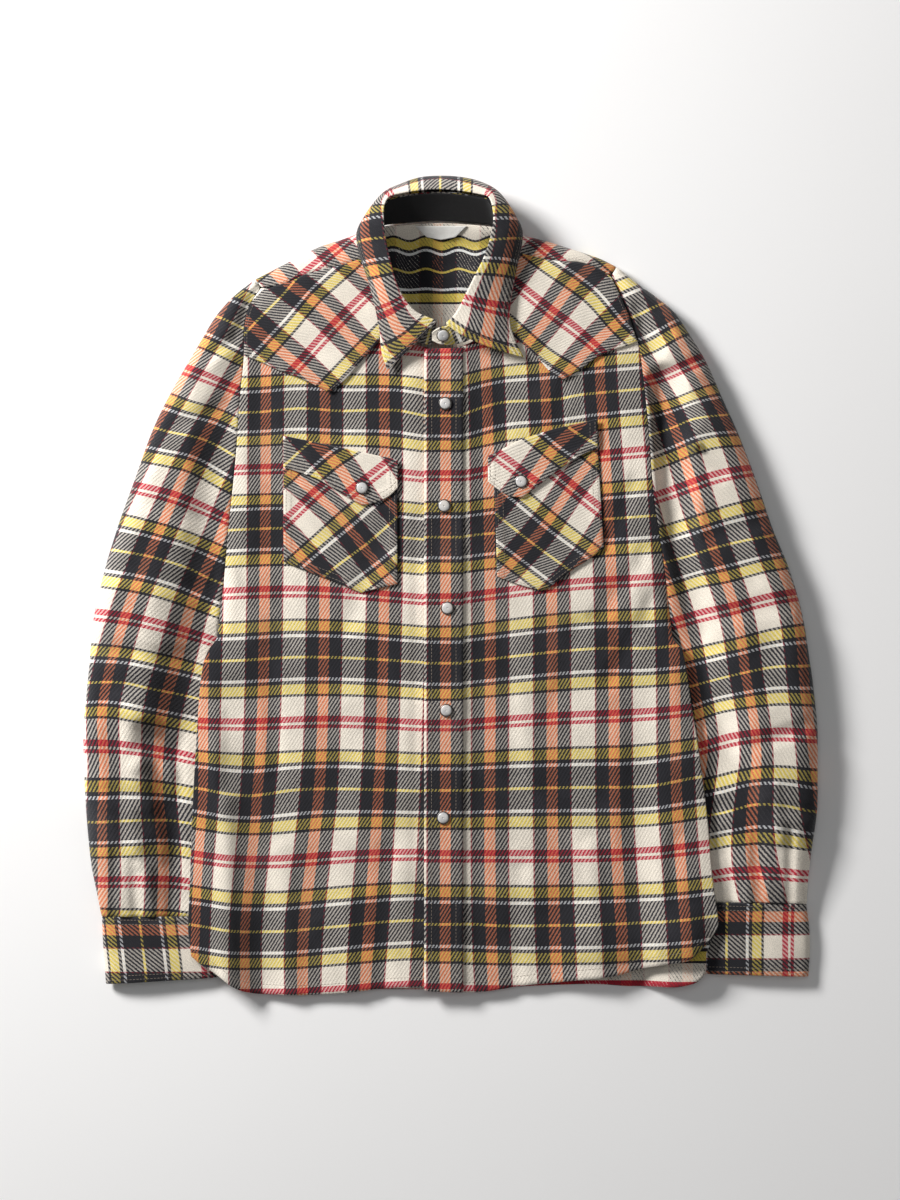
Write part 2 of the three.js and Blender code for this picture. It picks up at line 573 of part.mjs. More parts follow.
// Cuffs: a band of two plies round a flat oval, its ends lapped on the underside
// The share runs across the cuff from its inner end, at 0, to its outer end, at 1
const CUFFS = {
  [RIGHT]: table(['ix', 'iy', 'ox', 'oy', 'height'], [
    [-210.5, -315, -331.5, -315, 13],
    [-212, -334, -331, -336, 12.6],
    [-214, -354, -329.5, -357, 12],
    [-221, -372, -328, -378, 11]
  ]),
  [LEFT]: table(['ix', 'iy', 'ox', 'oy', 'height'], [
    [218.5, -301, 338.5, -303, 13],
    [221, -322, 341.5, -326, 12.6],
    [225, -346, 342, -350, 12],
    [229, -368, 340.5, -371, 11]
  ])
}
const CUFF_PATH = table(['share', 'level', 'lift'], [
  [0.6, 0, 5.4], [0.4, 0, 5.4], [0.33, 0, 3], [0.26, 0, 0.6], [0.2, 0, 0], [0.12, 0, 0], [0.05, 0.1, 0],
  [0.015, 0.25, 0], [0, 0.4, 0], [0.015, 0.55, 0], [0.06, 0.7, 0], [0.16, 0.82, 0], [0.33, 0.9, 0],
  [0.5, 1, 0], [0.67, 1.03, 0], [0.84, 1, 0], [0.94, 0.9, 0], [0.985, 0.7, 0], [1, 0.5, 0],
  [0.985, 0.3, 0], [0.95, 0.1, 0], [0.88, 0, 0], [0.8, 0, 0], [0.7, 0, 0.7], [0.62, 0, 2.6],
  [0.56, 0, 2.9], [0.4, 0, 2.9]
])
for (const side of [RIGHT, LEFT]) {
  const grid = CUFFS[side].map(row => CUFF_PATH.map(({ share, level, lift }) => new THREE.Vector3(
    lerp(row.ix, row.ox, share),
    lerp(row.iy, row.oy, share),
    level * (row.height - 0.6) + lift
  )))
  addCloth(side === RIGHT ? 'cuff_right' : 'cuff_left', grid, side, FLANNEL, CUFF_CLOTH)
}

// Sleeve plackets: a strip below each cuff slit, on the underside
const PLACKET = { width: 24, length: 118, share: 0.48 }
for (const side of [RIGHT, LEFT]) {
  const end = SLEEVES[side].at(-1)
  const grid = gridOf(steps(4), steps(2), (u, v) => new THREE.Vector3(
    lerp(end.ax, end.ox, PLACKET.share) + (u - 0.5) * PLACKET.width + side * v * 8,
    end.ay + 1 + v * PLACKET.length,
    0
  ))
  addCloth(side === RIGHT ? 'sleeve_placket_right' : 'sleeve_placket_left', grid, LEFT)
}

// Collar: neck seam, top of the stand, roll of the leaf and leaf edge, from the right end round to the left
const COLLAR = table(['nx', 'ny', 'nz', 'fx', 'fy', 'fz', 'mx', 'my', 'mz', 'ex', 'ey', 'ez'], [
  [-19, 228, 18.2, -13, 251, 25, -30, 233, 25, -60, 205, 19],
  [-28, 230, 18, -22, 254, 26, -42, 234, 25.5, -65, 222, 20],
  [-42, 238, 18, -34, 260, 27.5, -52, 247, 26.5, -67, 241, 21],
  [-56, 252, 18.3, -45, 273, 30, -60, 265, 28, -71, 262, 21.2],
  [-66, 272, 18.6, -52, 288, 32.5, -67, 284, 29.5, -76, 283, 21.4],
  [-75, 295, 18.8, -57, 307, 35, -74, 305, 31, -83, 304, 21.4],
  [-79, 314, 18.5, -61, 325, 37, -79, 324, 32, -88, 322, 20],
  [-78, 328, 16, -63, 342, 38, -82, 340, 31, -88, 338, 16],
  [-72, 339, 12, -63, 357, 37, -77, 356, 27, -76, 352, 9],
  [-62, 343.5, 9.5, -58, 367, 34, -64, 372, 23, -61, 364, 4],
  [-46, 345, 8.5, -46, 371, 32, -48, 381, 17.5, -46, 370, 2.4],
  [-28, 346.5, 8, -28, 374, 31, -29, 387.5, 16, -28, 374, 1.8],
  [-10, 347.5, 8, -10, 375, 30.5, -10, 389, 15.5, -10, 376, 1.8],
  [8, 346.5, 8, 9, 373.5, 31, 9, 388, 16, 9, 375, 1.8],
  [26, 345, 8.5, 26, 370.5, 32, 28, 383.5, 17.5, 26, 371, 2.4],
  [40, 343, 9.5, 36, 367, 34.5, 45, 373.5, 23, 40, 363, 4],
  [52, 336.5, 12, 40, 356, 37, 57, 357, 28, 55, 351, 9],
  [58.5, 326, 16, 40.5, 341, 38, 61, 342, 31.5, 66, 342, 16],
  [59, 311, 18.5, 37, 325, 37, 57, 327, 32, 68, 328, 20],
  [54.5, 293, 18.8, 31, 308, 35, 52, 307, 31, 63.5, 305, 21.4],
  [47.5, 270, 18.8, 22, 290, 33, 44, 289, 29.5, 60, 287, 21.4],
  [41, 254, 18.8, 15, 276, 31, 39, 271, 28.5, 57, 270, 21.4],
  [30, 243, 19, 9, 264, 29.5, 35, 255, 27.5, 56, 250, 21.2],
  [16, 232, 20, 3, 255, 28.5, 30, 240, 27, 61, 232, 20],
  [2, 228.5, 21, -4, 248, 28, 24, 231, 26.5, 69, 217, 19]
])
const COLLAR_TAB = table(['nx', 'ny', 'nz', 'fx', 'fy', 'fz'], [
  [-9, 228.5, 22, -11, 246, 28.4],
  [-17, 232, 23, -17.5, 241, 26]
])
const vector = (row, name) => new THREE.Vector3(row[`${name}x`], row[`${name}y`], row[`${name}z`])
const STAND_UP = [0.03, 0.35, 0.65, 0.89]
const standMiddle = [...COLLAR, ...COLLAR_TAB].map(row => STAND_UP.map(t => {
  const point = vector(row, 'n').lerp(vector(row, 'f'), t)
  return point.setZ(point.z - 1.2 * Math.sin(t * Math.PI))
}))
addCloth('collar_stand', movedOut(standMiddle, RIGHT, 0.9), RIGHT)
addCloth('stand_lining', movedOut(standMiddle, RIGHT, -0.9), RIGHT, RIBBED, LINING_CLOTH)

// The leaf starts over the stand's top edge, rolls over and lies down to its own edge
const LEAF_LIFT = 2
const LEAF_SHARES = [0, 0.12, 0.28, 0.46, 0.64, 0.82, 1]
const leafGrid = COLLAR.map(row => {
  const [fold, middle, edge] = ['f', 'm', 'e'].map(name => vector(row, name))
  const control = middle.clone().multiplyScalar(2).sub(fold.clone().lerp(edge, 0.5))
  return LEAF_SHARES.map(t => {
    const start = fold.clone().multiplyScalar((1 - t) ** 2)
    const bend = control.clone().multiplyScalar(2 * t * (1 - t))
    const end = edge.clone().multiplyScalar(t * t)
    return start.add(bend).add(end)
  })
})
addCloth('collar_leaf', leafGrid.map(row => row.map(point => point.clone().setZ(point.z + LEAF_LIFT))), LEFT)

// Chest pockets and flaps: from the front's points, moved out
const POCKETS = {
  [RIGHT]: table(['u', 'top', 'x', 'low'], [
    [0, 134, -158, 23], [0.17, 130, -140, 16], [0.34, 126, -124, 10], [0.5, 122.5, -106, 3],
    [0.68, 118, -85, -6], [0.84, 115, -68, -1.5], [1, 111, -51, 2]
  ]),
  [LEFT]: table(['u', 'top', 'x', 'low'], [
    [0, 150, 138, 36], [0.17, 146, 123, 25], [0.34, 141, 106, 14], [0.52, 135, 83, -4], [0.68, 127, 68, 0],
    [0.84, 121, 54, 4.5], [1, 115, 42, 9]
  ])
}
const POCKET_LEAN = { [RIGHT]: 0, [LEFT]: 7 }
for (const side of [RIGHT, LEFT]) {
  const grid = steps(6).map(v => POCKETS[side].map(row => {
    const x = row.x + POCKET_LEAN[side] * (1 - v) * (row.u < 0.5 ? 1 : 0.4)
    const y = lerp(row.low, row.top, v)
    return new THREE.Vector3(x, y, frontHeight(x, y) + ON_TOP)
  }))
  addCloth(side === RIGHT ? 'pocket_right' : 'pocket_left', grid, side)
}

const FLAPS = {
  [RIGHT]: table(['x', 'top', 'low'], [
    [-158, 142, 113], [-143, 139, 108], [-124, 135, 101], [-105, 131, 89], [-84, 126.5, 77], [-70, 123.5, 80],
    [-58, 121, 86], [-50.5, 119, 93]
  ]),
  [LEFT]: table(['x', 'top', 'low'], [
    [139, 158, 131], [123, 154, 124], [104, 150, 112], [90, 146, 101], [68, 139, 84.5], [56, 133, 86],
    [44, 127, 93], [36, 123, 99]
  ])
}
for (const side of [RIGHT, LEFT]) {
  const grid = steps(4).map(v => FLAPS[side].map(row => {
    const y = lerp(row.low, row.top, v)
    return new THREE.Vector3(row.x, y, frontHeight(row.x, y) + ON_TOP * 2 + 0.2)
  }))
  addCloth(side === RIGHT ? 'flap_right' : 'flap_left', grid, side)
}

// Snaps: a pearl cap in a thin metal ring, each seated on the cloth below it
function addRevolved(name, profile, seat, normal, finish) {
  const turn = new THREE.Quaternion().setFromUnitVectors(new THREE.Vector3(0, 0, 1), normal)
  const points = profile.flatMap(([radius, height]) => Array.from({ length: SNAP_SIDES }, (_, i) => {
    const angle = i / SNAP_SIDES * Math.PI * 2
    const point = new THREE.Vector3(radius * Math.cos(angle), radius * Math.sin(angle), height)
    return point.applyQuaternion(turn).add(seat)
  }))
  const faces = []
  const loops = profile.length
  for (let k = 0; k < loops; k++) {
    for (let i = 0; i < SNAP_SIDES; i++) {
      const [a, b] = [k * SNAP_SIDES + i, k * SNAP_SIDES + (i + 1) % SNAP_SIDES]
      const next = ((k + 1) % loops) * SNAP_SIDES
      const [c, d] = [next + (i + 1) % SNAP_SIDES, next + i]
      faces.push(a, b, c, a, c, d)
    }
  }
  addMesh(name, points, faces, finish)
}

function addCap(name, seat, normal) {
  const turn = new THREE.Quaternion().setFromUnitVectors(new THREE.Vector3(0, 0, 1), normal)
  const rings = [[0.85, 0], [1, 0.35], [0.97, 0.68], [0.7, 0.92]]
  const ringPoints = rings.flatMap(([r, h]) => Array.from({ length: SNAP_SIDES }, (_, i) => {
    const angle = i / SNAP_SIDES * Math.PI * 2
    const radius = r * SNAP_CAP_RADIUS
    return new THREE.Vector3(radius * Math.cos(angle), radius * Math.sin(angle), h * SNAP_CAP_HEIGHT)
  }))
  const local = [...ringPoints, new THREE.Vector3(), new THREE.Vector3(0, 0, SNAP_CAP_HEIGHT)]
  const bottom = ringPoints.length
  const faces = []
  for (let i = 0; i < SNAP_SIDES; i++) {
    const next = (i + 1) % SNAP_SIDES
    faces.push(bottom, next, i)
    for (let k = 0; k < rings.length - 1; k++) {
      const [low, high] = [k * SNAP_SIDES, (k + 1) * SNAP_SIDES]
      faces.push(low + i, low + next, high + next, low + i, high + next, high + i)
    }
    const top = (rings.length - 1) * SNAP_SIDES
    faces.push(top + i, top + next, bottom + 1)
  }
  addMesh(name, local.map(point => point.applyQuaternion(turn).add(seat)), faces, PEARL)
}

const RING_PROFILE = [
  [SNAP_RING_BORE, 0.2], [SNAP_RING_RADIUS, 0.2], [SNAP_RING_RADIUS - 0.1, SNAP_RING_HEIGHT - 0.3],
  [SNAP_RING_BORE + 0.35, SNAP_RING_HEIGHT]
]

function addSnap(name, seat, normal) {
  addCap(`${name}_cap`, seat.clone().addScaledVector(normal, 0.3), normal)
  addRevolved(`${name}_ring`, RING_PROFILE, seat, normal, STEEL)
}

function surfaceNormal(height, x, y) {
  const reach = 5
  const dx = (height(x + reach, y) - height(x - reach, y)) / (2 * reach)
  const dy = (height(x, y + reach) - height(x, y - reach)) / (2 * reach)
  return new THREE.Vector3(-dx, -dy, 1).normalize()
}

const SNAP_CLEAR = 0.35
const BAND_SNAPS = table(['x', 'y'], [[-5, 173], [-6, 76], [-3, -21], [-4, -118], [-7, -220]])
const tabNormal = new THREE.Vector3(0.05, -0.34, 1).normalize()
addSnap('snap_1', new THREE.Vector3(-7, 237, 26.6), tabNormal)
BAND_SNAPS.forEach(({ x, y }, i) => {
  const z = leftFrontHeight(x, y) + ON_TOP + SNAP_CLEAR
  addSnap(`snap_${i + 2}`, new THREE.Vector3(x, y, z), surfaceNormal(leftFrontHeight, x, y))
})
const flapHeight = (x, y) => frontHeight(x, y) + ON_TOP * 2 + 0.2 + SNAP_CLEAR
const FLAP_SNAPS = { snap_flap_right: [-84, 93], snap_flap_left: [67, 99] }
for (const [name, [x, y]] of Object.entries(FLAP_SNAPS)) {
  addSnap(name, new THREE.Vector3(x, y, flapHeight(x, y)), surfaceNormal(frontHeight, x, y))
}
const DOWN = new THREE.Vector3(0, 0, -1)
for (const side of [RIGHT, LEFT]) {
  const [near, far] = [CUFFS[side][1], CUFFS[side][2]]
  const x = lerp(lerp(near.ix, near.ox, 0.5), lerp(far.ix, far.ox, 0.5), 0.5)
  const y = lerp(lerp(near.iy, near.oy, 0.5), lerp(far.iy, far.oy, 0.5), 0.5)
  addSnap(side === RIGHT ? 'snap_cuff_right' : 'snap_cuff_left', new THREE.Vector3(x, y, 2.6), DOWN)
}

export default group
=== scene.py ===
import math

import bpy
import numpy as np
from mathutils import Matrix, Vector


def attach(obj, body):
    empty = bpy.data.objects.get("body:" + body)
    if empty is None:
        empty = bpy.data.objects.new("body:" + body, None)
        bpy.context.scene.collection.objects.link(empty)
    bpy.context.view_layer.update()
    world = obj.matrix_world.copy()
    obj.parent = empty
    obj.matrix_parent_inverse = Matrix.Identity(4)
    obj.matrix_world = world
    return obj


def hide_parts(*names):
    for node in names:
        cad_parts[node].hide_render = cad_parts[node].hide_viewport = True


# Western snap shirt in plaid flannel, laid flat on its back and snapped up.
# The CAD's sizes are repeated here in millimetres, and meshes are made in metres.
# Left and right are the wearer's: the wearer's right is at -X, and the collar is at +Y.

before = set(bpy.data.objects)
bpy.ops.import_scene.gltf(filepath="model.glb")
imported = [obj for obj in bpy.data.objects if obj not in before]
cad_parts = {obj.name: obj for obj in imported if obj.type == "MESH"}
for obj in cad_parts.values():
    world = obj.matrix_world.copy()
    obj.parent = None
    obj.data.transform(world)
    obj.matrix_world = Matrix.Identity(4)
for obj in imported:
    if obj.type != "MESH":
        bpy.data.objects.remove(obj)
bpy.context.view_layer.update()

MM = 0.001
RIGHT, LEFT = -1, 1
SIDE_NAMES = {RIGHT: "right", LEFT: "left"}

# Cloth and sewing
CLOTH = 1.4
CUFF_CLOTH = 2.0
SEAM = 0.4
ON_TOP = CLOTH + 0.45
LAP = CLOTH + 1.1

# Rolls at the edges of the laid body
SIDE_ROLL = 16
SIDE_RAMP = 32
BACK_RAMP = 36
SHOULDER_ROLL = 28
SHOULDER_FOLD = 7

# Front band
BAND_LEFT = 11.5
BAND_RIGHT = -24.5
UNDERLAP = 9

# Weave
YARN = 0.84
WARP_REPEAT = 57.5
WEFT_REPEAT = 118.4


def table(columns, *rows):
    return {name: np.array([row[i] for row in rows], float) for i, name in enumerate(columns.split())}


def lerp(a, b, t):
    return a + (b - a) * t


def smooth(t):
    t = np.clip(t, 0, 1)
    return t * t * (3 - 2 * t)


def quarter(t):
    return np.sqrt(1 - (1 - np.clip(t, 0, 1)) ** 2)


def ease(t):
    return 1 - (1 - np.clip(t, 0, 1)) ** 2.2


def curve(keys, values):
    """Smooth curve through values at keys, level beyond its ends."""
    order = np.argsort(keys)
    ks, vs = keys[order], values[order]
    slopes = np.diff(vs) / np.diff(ks)
    inner = [0 if a * b <= 0 else 2 * a * b / (a + b) for a, b in zip(slopes, slopes[1:])]
    tangents = np.array([slopes[0], *inner, slopes[-1]])

    def at(k):
        k = np.clip(k, ks[0], ks[-1])
        i = np.clip(np.searchsorted(ks, k, side="right") - 1, 0, len(ks) - 2)
        span = ks[i + 1] - ks[i]
        t = (k - ks[i]) / span
        level = vs[i] * (1 + 2 * t) * (1 - t) ** 2 + vs[i + 1] * t * t * (3 - 2 * t)
        return level + span * (tangents[i] * t * (1 - t) ** 2 - tangents[i + 1] * t * t * (1 - t))

    return at


def through(rows, keys, at):
    """Rows of numbers given at keys, at more places in between."""
    rows = np.asarray(rows, float)
    steps = np.diff(keys)[:, None]
    slopes = np.diff(rows, axis=0) / steps
    inner = (slopes[:-1] * steps[1:] + slopes[1:] * steps[:-1]) / (steps[:-1] + steps[1:])
    tangents = np.vstack([slopes[:1], inner, slopes[-1:]])
    i = np.clip(np.searchsorted(keys, at, side="right") - 1, 0, len(keys) - 2)
    span = (keys[i + 1] - keys[i])[:, None]
    t = ((at - keys[i]) / span[:, 0])[:, None]
    level = rows[i] * (1 + 2 * t) * (1 - t) ** 2 + rows[i + 1] * t * t * (3 - 2 * t)
    return level + span * (tangents[i] * t * (1 - t) ** 2 - tangents[i + 1] * t * t * (1 - t))


def refined(rows, times):
    """Rows of numbers with more rows in between."""
    keys = np.arange(len(rows), dtype=float)
    return through(rows, keys, np.linspace(0, keys[-1], (len(keys) - 1) * times + 1))


def along(points):
    """Distance along a line of points."""
    return np.concatenate([[0], np.cumsum(np.linalg.norm(np.diff(points, axis=0), axis=1))])


def point(x, y, z):
    x, y, z = np.broadcast_arrays(x, y, z)
    return np.stack([x, y, z], axis=-1).astype(float)


# Side of the body, as in the solids: armhole down to the underarm, then the side seam
UNDERARM = -30
SIDE_COLUMNS = "y x front back shelf ledge"
SIDES = {
    RIGHT: table(
        SIDE_COLUMNS,
        [282, -181, 12, 0, 14, 12],
        [270, -189, 14, 0, 15.5, 12],
        [256, -194, 15, 0, 16, 12],
        [240, -196, 15.5, 0, 16.5, 12],
        [224, -196, 16, 0, 16.5, 12],
        [177, -200, 16, 0, 16.5, 14],
        [120, -204, 16, 0, 16.5, 14],
        [53, -211, 14.5, 0.5, 16, 16],
        [10, -215, 11.5, 2.5, 15, 18],
        [-30, -220, 8.6, 5.4, 14.5, 22],
        [-49, -222, 12, 8.9, 14.5, 20],
        [-61, -230, 12.9, 9.8, 14.8, 20],
        [-75, -235, 13.3, 10.2, 15, 20],
        [-99, -238, 13.4, 10.3, 15, 21],
        [-156, -242, 13.4, 10.3, 15, 26],
        [-213, -245, 13.4, 10.3, 15, 32],
        [-270, -247, 13.8, 10.6, 15.2, 38],
        [-298, -248, 15, 11.9, 16, 40],
        [-322, -249, 16, 12.9, 17, 38],
        [-351, -246, 16.2, 13, 17, 32],
    ),
    LEFT: table(
        SIDE_COLUMNS,
        [294, 153, 12, 0, 14, 12],
        [281, 159, 14, 0, 15.5, 12],
        [269, 164, 15, 0, 16, 12],
        [255, 170, 15.5, 0, 16.5, 12],
        [241, 174, 16, 0, 16.5, 12],
        [226, 179, 16, 0, 16.5, 12],
        [196, 183, 16, 0, 16.5, 14],
        [148, 188, 16, 0, 16.5, 14],
        [82, 193, 16, 0, 16.5, 14],
        [44, 199, 14.5, 0.5, 16, 16],
        [10, 204, 11.5, 2.5, 15, 18],
        [-30, 209, 8.6, 5.4, 14.5, 22],
        [-49, 211, 12, 8.9, 14.5, 20],
        [-61, 220, 12.9, 9.8, 14.8, 20],
        [-80, 224, 13.3, 10.2, 15, 22],
        [-108, 228, 13.4, 10.3, 15, 24],
        [-165, 237, 13.4, 10.3, 15, 30],
        [-232, 245, 13.4, 10.3, 15, 36],
        [-260, 247, 14.2, 11, 15.5, 38],
        [-289, 250, 15.8, 12.7, 16.8, 38],
        [-322, 254, 16.2, 13, 17, 34],
        [-339, 243, 16.2, 13, 17, 28],
    ),
}
SHOULDERS = {
    RIGHT: table(
        "x y", [-187, 291], [-162, 304], [-143, 314], [-124, 323], [-105, 329], [-88, 335], [-75, 339],
        [-63, 343]
    ),
    LEFT: table(
        "x y", [159, 303], [142, 312], [123, 318], [104, 324], [85, 330], [68, 333], [55, 338], [43, 343]
    ),
}
sides = {
    side: {
        **{name: curve(rows["y"], rows[name]) for name in ("x", "front", "back", "shelf", "ledge")},
        "top": curve(SHOULDERS[side]["x"], SHOULDERS[side]["y"]),
    }
    for side, rows in SIDES.items()
}
CROWN = table(
    "y z", [-388, 7.7], [-350, 8.6], [-250, 9.8], [-150, 10.9], [-50, 12], [50, 13], [150, 14], [215, 15.5],
    [260, 16.5], [340, 17]
)
crown = curve(CROWN["y"], CROWN["z"])

# Wide folds, then finer creases: troughs, or ridges where the depth is negative
FOLD_COLUMNS = "x0 y0 x1 y1 depth reach"
FRONT_FOLDS = table(
    FOLD_COLUMNS,
    [20.5, 30, 21, -400, 0.9, 14],
    [-206, -100, -178, -390, 2.6, 24],
    [-179, 205, -176, 30, 1.8, 22],
    [-36, 214, -38, 80, -1.6, 18],
    [196, -20, 178, -360, 2.2, 24],
    [-120, -190, -132, -395, 1.2, 26],
    [96, -150, 104, -385, 1.3, 26],
)
FRONT_CREASES = table(
    FOLD_COLUMNS,
    [-196, 120, -150, 96, 1.6, 11],
    [-200, 60, -138, 8, 2.0, 13],
    [-204, 10, -150, -50, 2.2, 14],
    [-60, 60, -100, -40, 1.3, 15],
    [-150, -90, -96, -160, 1.5, 16],
    [-70, -60, -50, -190, 1.4, 13],
    [-160, -250, -150, -385, -1.6, 13],
    [-60, -250, -66, -388, 1.6, 13],
    [-98, -300, -94, -390, -1.4, 11],
    [-228, -150, -226, -350, -1.8, 15],
    [-212, -205, -213, -385, -3.6, 13],
    [-222, -120, -220, -215, -1.6, 13],
    [-172, -60, -166, -180, 1.6, 12],
    [50, -40, 62, -180, 1.4, 14],
    [176, 100, 150, 40, 1.6, 12],
    [186, 30, 140, -30, 2.0, 14],
    [196, -10, 150, -90, 2.0, 13],
    [120, -40, 96, -120, 1.2, 13],
    [66, -270, 60, -388, 1.5, 12],
    [134, -250, 142, -376, -1.7, 13],
    [214, -240, 206, -360, 2.0, 12],
    [160, -130, 156, -250, -1.4, 13],
    [40, 200, 52, 150, 1.2, 12],
    [-108, 182, -104, 146, 1.0, 11],
    [108, 190, 100, 150, 1.0, 10],
    [-32, 60, -34, -330, 1.2, 8],
)
SLEEVE_FOLDS = table(
    FOLD_COLUMNS,
    [-232, -165, -286, -146, 8, 24],
    [-244, -268, -292, -160, 4, 20],
    [-222, 196, -236, 30, 3, 22],
    [-300, -225, -330, -80, 3, 22],
    [-206, 40, -222, -30, 8, 16],
    [-222, -30, -232, -70, 6, 14],
    [-250, -180, -262, -262, 5, 15],
    [200, 186, 212, 66, 22, 27],
    [214, 66, 230, -40, 14, 23],
    [230, -40, 238, -124, 8, 17],
    [204, 200, 226, 158, 6, 14],
    [258, -110, 292, -262, 5, 20],
    [236, -160, 284, -196, 4, 17],
    [250, 60, 300, -60, 3, 26],
)
SLEEVE_CREASES = table(
    FOLD_COLUMNS,
    [-206, 236, -232, 214, 2.4, 10],
    [-212, 170, -262, 150, 2.0, 12],
    [-236, 60, -300, 84, 2.0, 13],
    [-246, 0, -318, 16, 2.4, 15],
    [-250, -70, -330, -60, 2.4, 14],
    [-288, -128, -318, -112, -3.2, 14],
    [-262, -142, -296, -170, -2.6, 12],
    [-300, -96, -338, -84, 2.6, 12],
    [-282, -160, -272, -214, 4.5, 13],
    [-272, -214, -250, -262, 4.0, 12],
    [-236, -190, -262, -206, 3.0, 11],
    [-292, -200, -338, -196, 2.4, 12],
    [-302, -214, -298, -262, -2.2, 12],
    [-262, -250, -266, -312, 2.8, 8],
    [-286, -268, -284, -314, -1.8, 7],
    [-300, -262, -298, -314, 2.6, 8],
    [-318, -250, -320, -314, 2.2, 7],
    [-240, -280, -242, -314, 2.0, 6],
    [178, 262, 204, 240, 5, 11],
    [182, 246, 196, 226, 6, 12],
    [212, 122, 254, 104, 2.0, 12],
    [222, 96, 236, 52, -2.4, 12],
    [230, 40, 292, 62, 2.2, 13],
    [236, 8, 250, -58, 3.2, 13],
    [208, 150, 232, 132, -6, 9],
    [204, 200, 240, 214, 3.4, 11],
    [250, -30, 322, -16, 2.4, 14],
    [238, -86, 270, -150, 3.6, 11],
    [232, -140, 262, -178, 3.6, 10],
    [262, -120, 276, -170, -2.4, 10],
    [290, -150, 338, -132, 2.8, 12],
    [286, -196, 292, -250, 3.2, 11],
    [250, -206, 300, -220, 2.6, 10],
    [306, -190, 312, -240, -2.2, 10],
    [300, -210, 340, -214, 2.2, 11],
    [262, -236, 268, -300, 3.0, 8],
    [280, -246, 282, -300, -1.8, 7],
    [292, -240, 294, -300, 3.0, 8],
    [322, -232, 322, -300, 2.4, 7],
    [240, -262, 244, -300, 2.0, 6],
)


def fold_depth(folds, x, y):
    total = np.zeros(np.broadcast(x, y).shape)
    for x0, y0, x1, y1, depth, reach in zip(*(folds[name] for name in FOLD_COLUMNS.split())):
        dx, dy = x1 - x0, y1 - y0
        t = np.clip(((x - x0) * dx + (y - y0) * dy) / (dx * dx + dy * dy), 0, 1)
        away = np.hypot(x - x0 - dx * t, y - y0 - dy * t) / reach
        total += depth * np.clip(1 - away * away, 0, 1) ** 2
    return total


def by_side(name, key, x):
    """A side's curve, the wearer's right one where x is below 0."""
    return np.where(x < 0, sides[RIGHT][name](key), sides[LEFT][name](key))


def drift(x, y, pitch, seed):
    """Slow uneven swell of the cloth, from -1 to 1."""
    a = np.sin(x / pitch + 1.7 * seed + 1.3 * np.sin(y / pitch * 0.83 + seed))
    b = np.sin(y / pitch * 1.21 + 2.9 * seed + 1.1 * np.sin(x / pitch * 0.71 - seed))
    return a * b


def swell(x, y, waves):
    """Several drifts together, each of a height, a pitch and a seed."""
    return sum(height * drift(x, y, pitch, seed) for height, pitch, seed in waves)


FRONT_SWELL = [(0.35, 21, 1), (0.2, 9, 2)]
SHELF_EDGE = 6
CREASE_START = dict(inset=4, reach=20)
SWELL_REACH = 30
SHOULDER_STEEPNESS = 0.9


def front_height(x, y):
    inset = np.abs(by_side("x", y, x)) - np.abs(x)
    level = crown(y)
    off_ledge = inset - by_side("ledge", y, x) - SHELF_EDGE
    raised = lerp(by_side("shelf", y, x), level, smooth(off_ledge / SIDE_RAMP))
    creased = smooth((inset - CREASE_START["inset"]) / CREASE_START["reach"])
    folds = fold_depth(FRONT_FOLDS, x, y) + fold_depth(FRONT_CREASES, x, y) * creased
    swollen = swell(x, y, FRONT_SWELL) * smooth(inset / SWELL_REACH)
    folded = raised - folds * smooth(inset / SIDE_ROLL) + swollen
    rolled = lerp(by_side("front", y, x), folded, ease(inset / SIDE_ROLL))
    below = (by_side("top", x, x) - y) * SHOULDER_STEEPNESS
    return lerp(SHOULDER_FOLD, rolled, quarter(below / SHOULDER_ROLL))


# The left front's hem lifts away from the band, and its edge comes partly down again
HEM_CURL = dict(height=8, start=-300, rise=38, turns=1.6, inner=84, inner_reach=50, outer=250, outer_reach=26)


def left_front_height(x, y):
    ridge = math.tau / 4 * np.clip((HEM_CURL["start"] - y) / HEM_CURL["rise"], 0, HEM_CURL["turns"])
    curl = HEM_CURL["height"] * np.sin(ridge) * smooth((x - HEM_CURL["inner"]) / HEM_CURL["inner_reach"])
    curl *= smooth((HEM_CURL["outer"] - x) / HEM_CURL["outer_reach"])
    return front_height(x, y) + LAP * (1 - smooth((x - UNDERLAP - 3) / 18)) + curl


def back_height(x, y):
    inset = np.abs(by_side("x", y, x)) - np.abs(x)
    return by_side("back", y, x) * (1 - smooth((inset - by_side("ledge", y, x)) / BACK_RAMP))


# Grids of points: rows down the first axis, columns across the second
def normals_of(grid, turn):
    down = np.gradient(grid, axis=0)
    across = np.gradient(grid, axis=1)
    normals = np.cross(down, across) * turn
    return normals / np.maximum(np.linalg.norm(normals, axis=2, keepdims=True), 1e-9)


def moved_out(grid, turn, distance):
    return grid + normals_of(grid, turn) * np.asarray(distance)[..., None]


def from_edges(grid):
    """Distance over the cloth from each of the four edges: top row, last row, first and last column."""
    rows = np.linalg.norm(np.diff(grid, axis=0), axis=2)
    columns = np.linalg.norm(np.diff(grid, axis=1), axis=2)
    down = np.vstack([np.zeros(grid.shape[1]), np.cumsum(rows, axis=0)])
    across = np.hstack([np.zeros((grid.shape[0], 1)), np.cumsum(columns, axis=1)])
    return {"first": down, "last": down[-1:] - down, "start": across, "end": across[:, -1:] - across}


ALLOWANCE = 9.0
SEAM_STEP = dict(inset=1, reach=2.2)
ROW_DRAW = dict(depth=0.34, reach=0.9)
PUCKER = dict(height=0.16, reach=5.5, pitch=3.1, sway=2.3, sway_pitch=17)


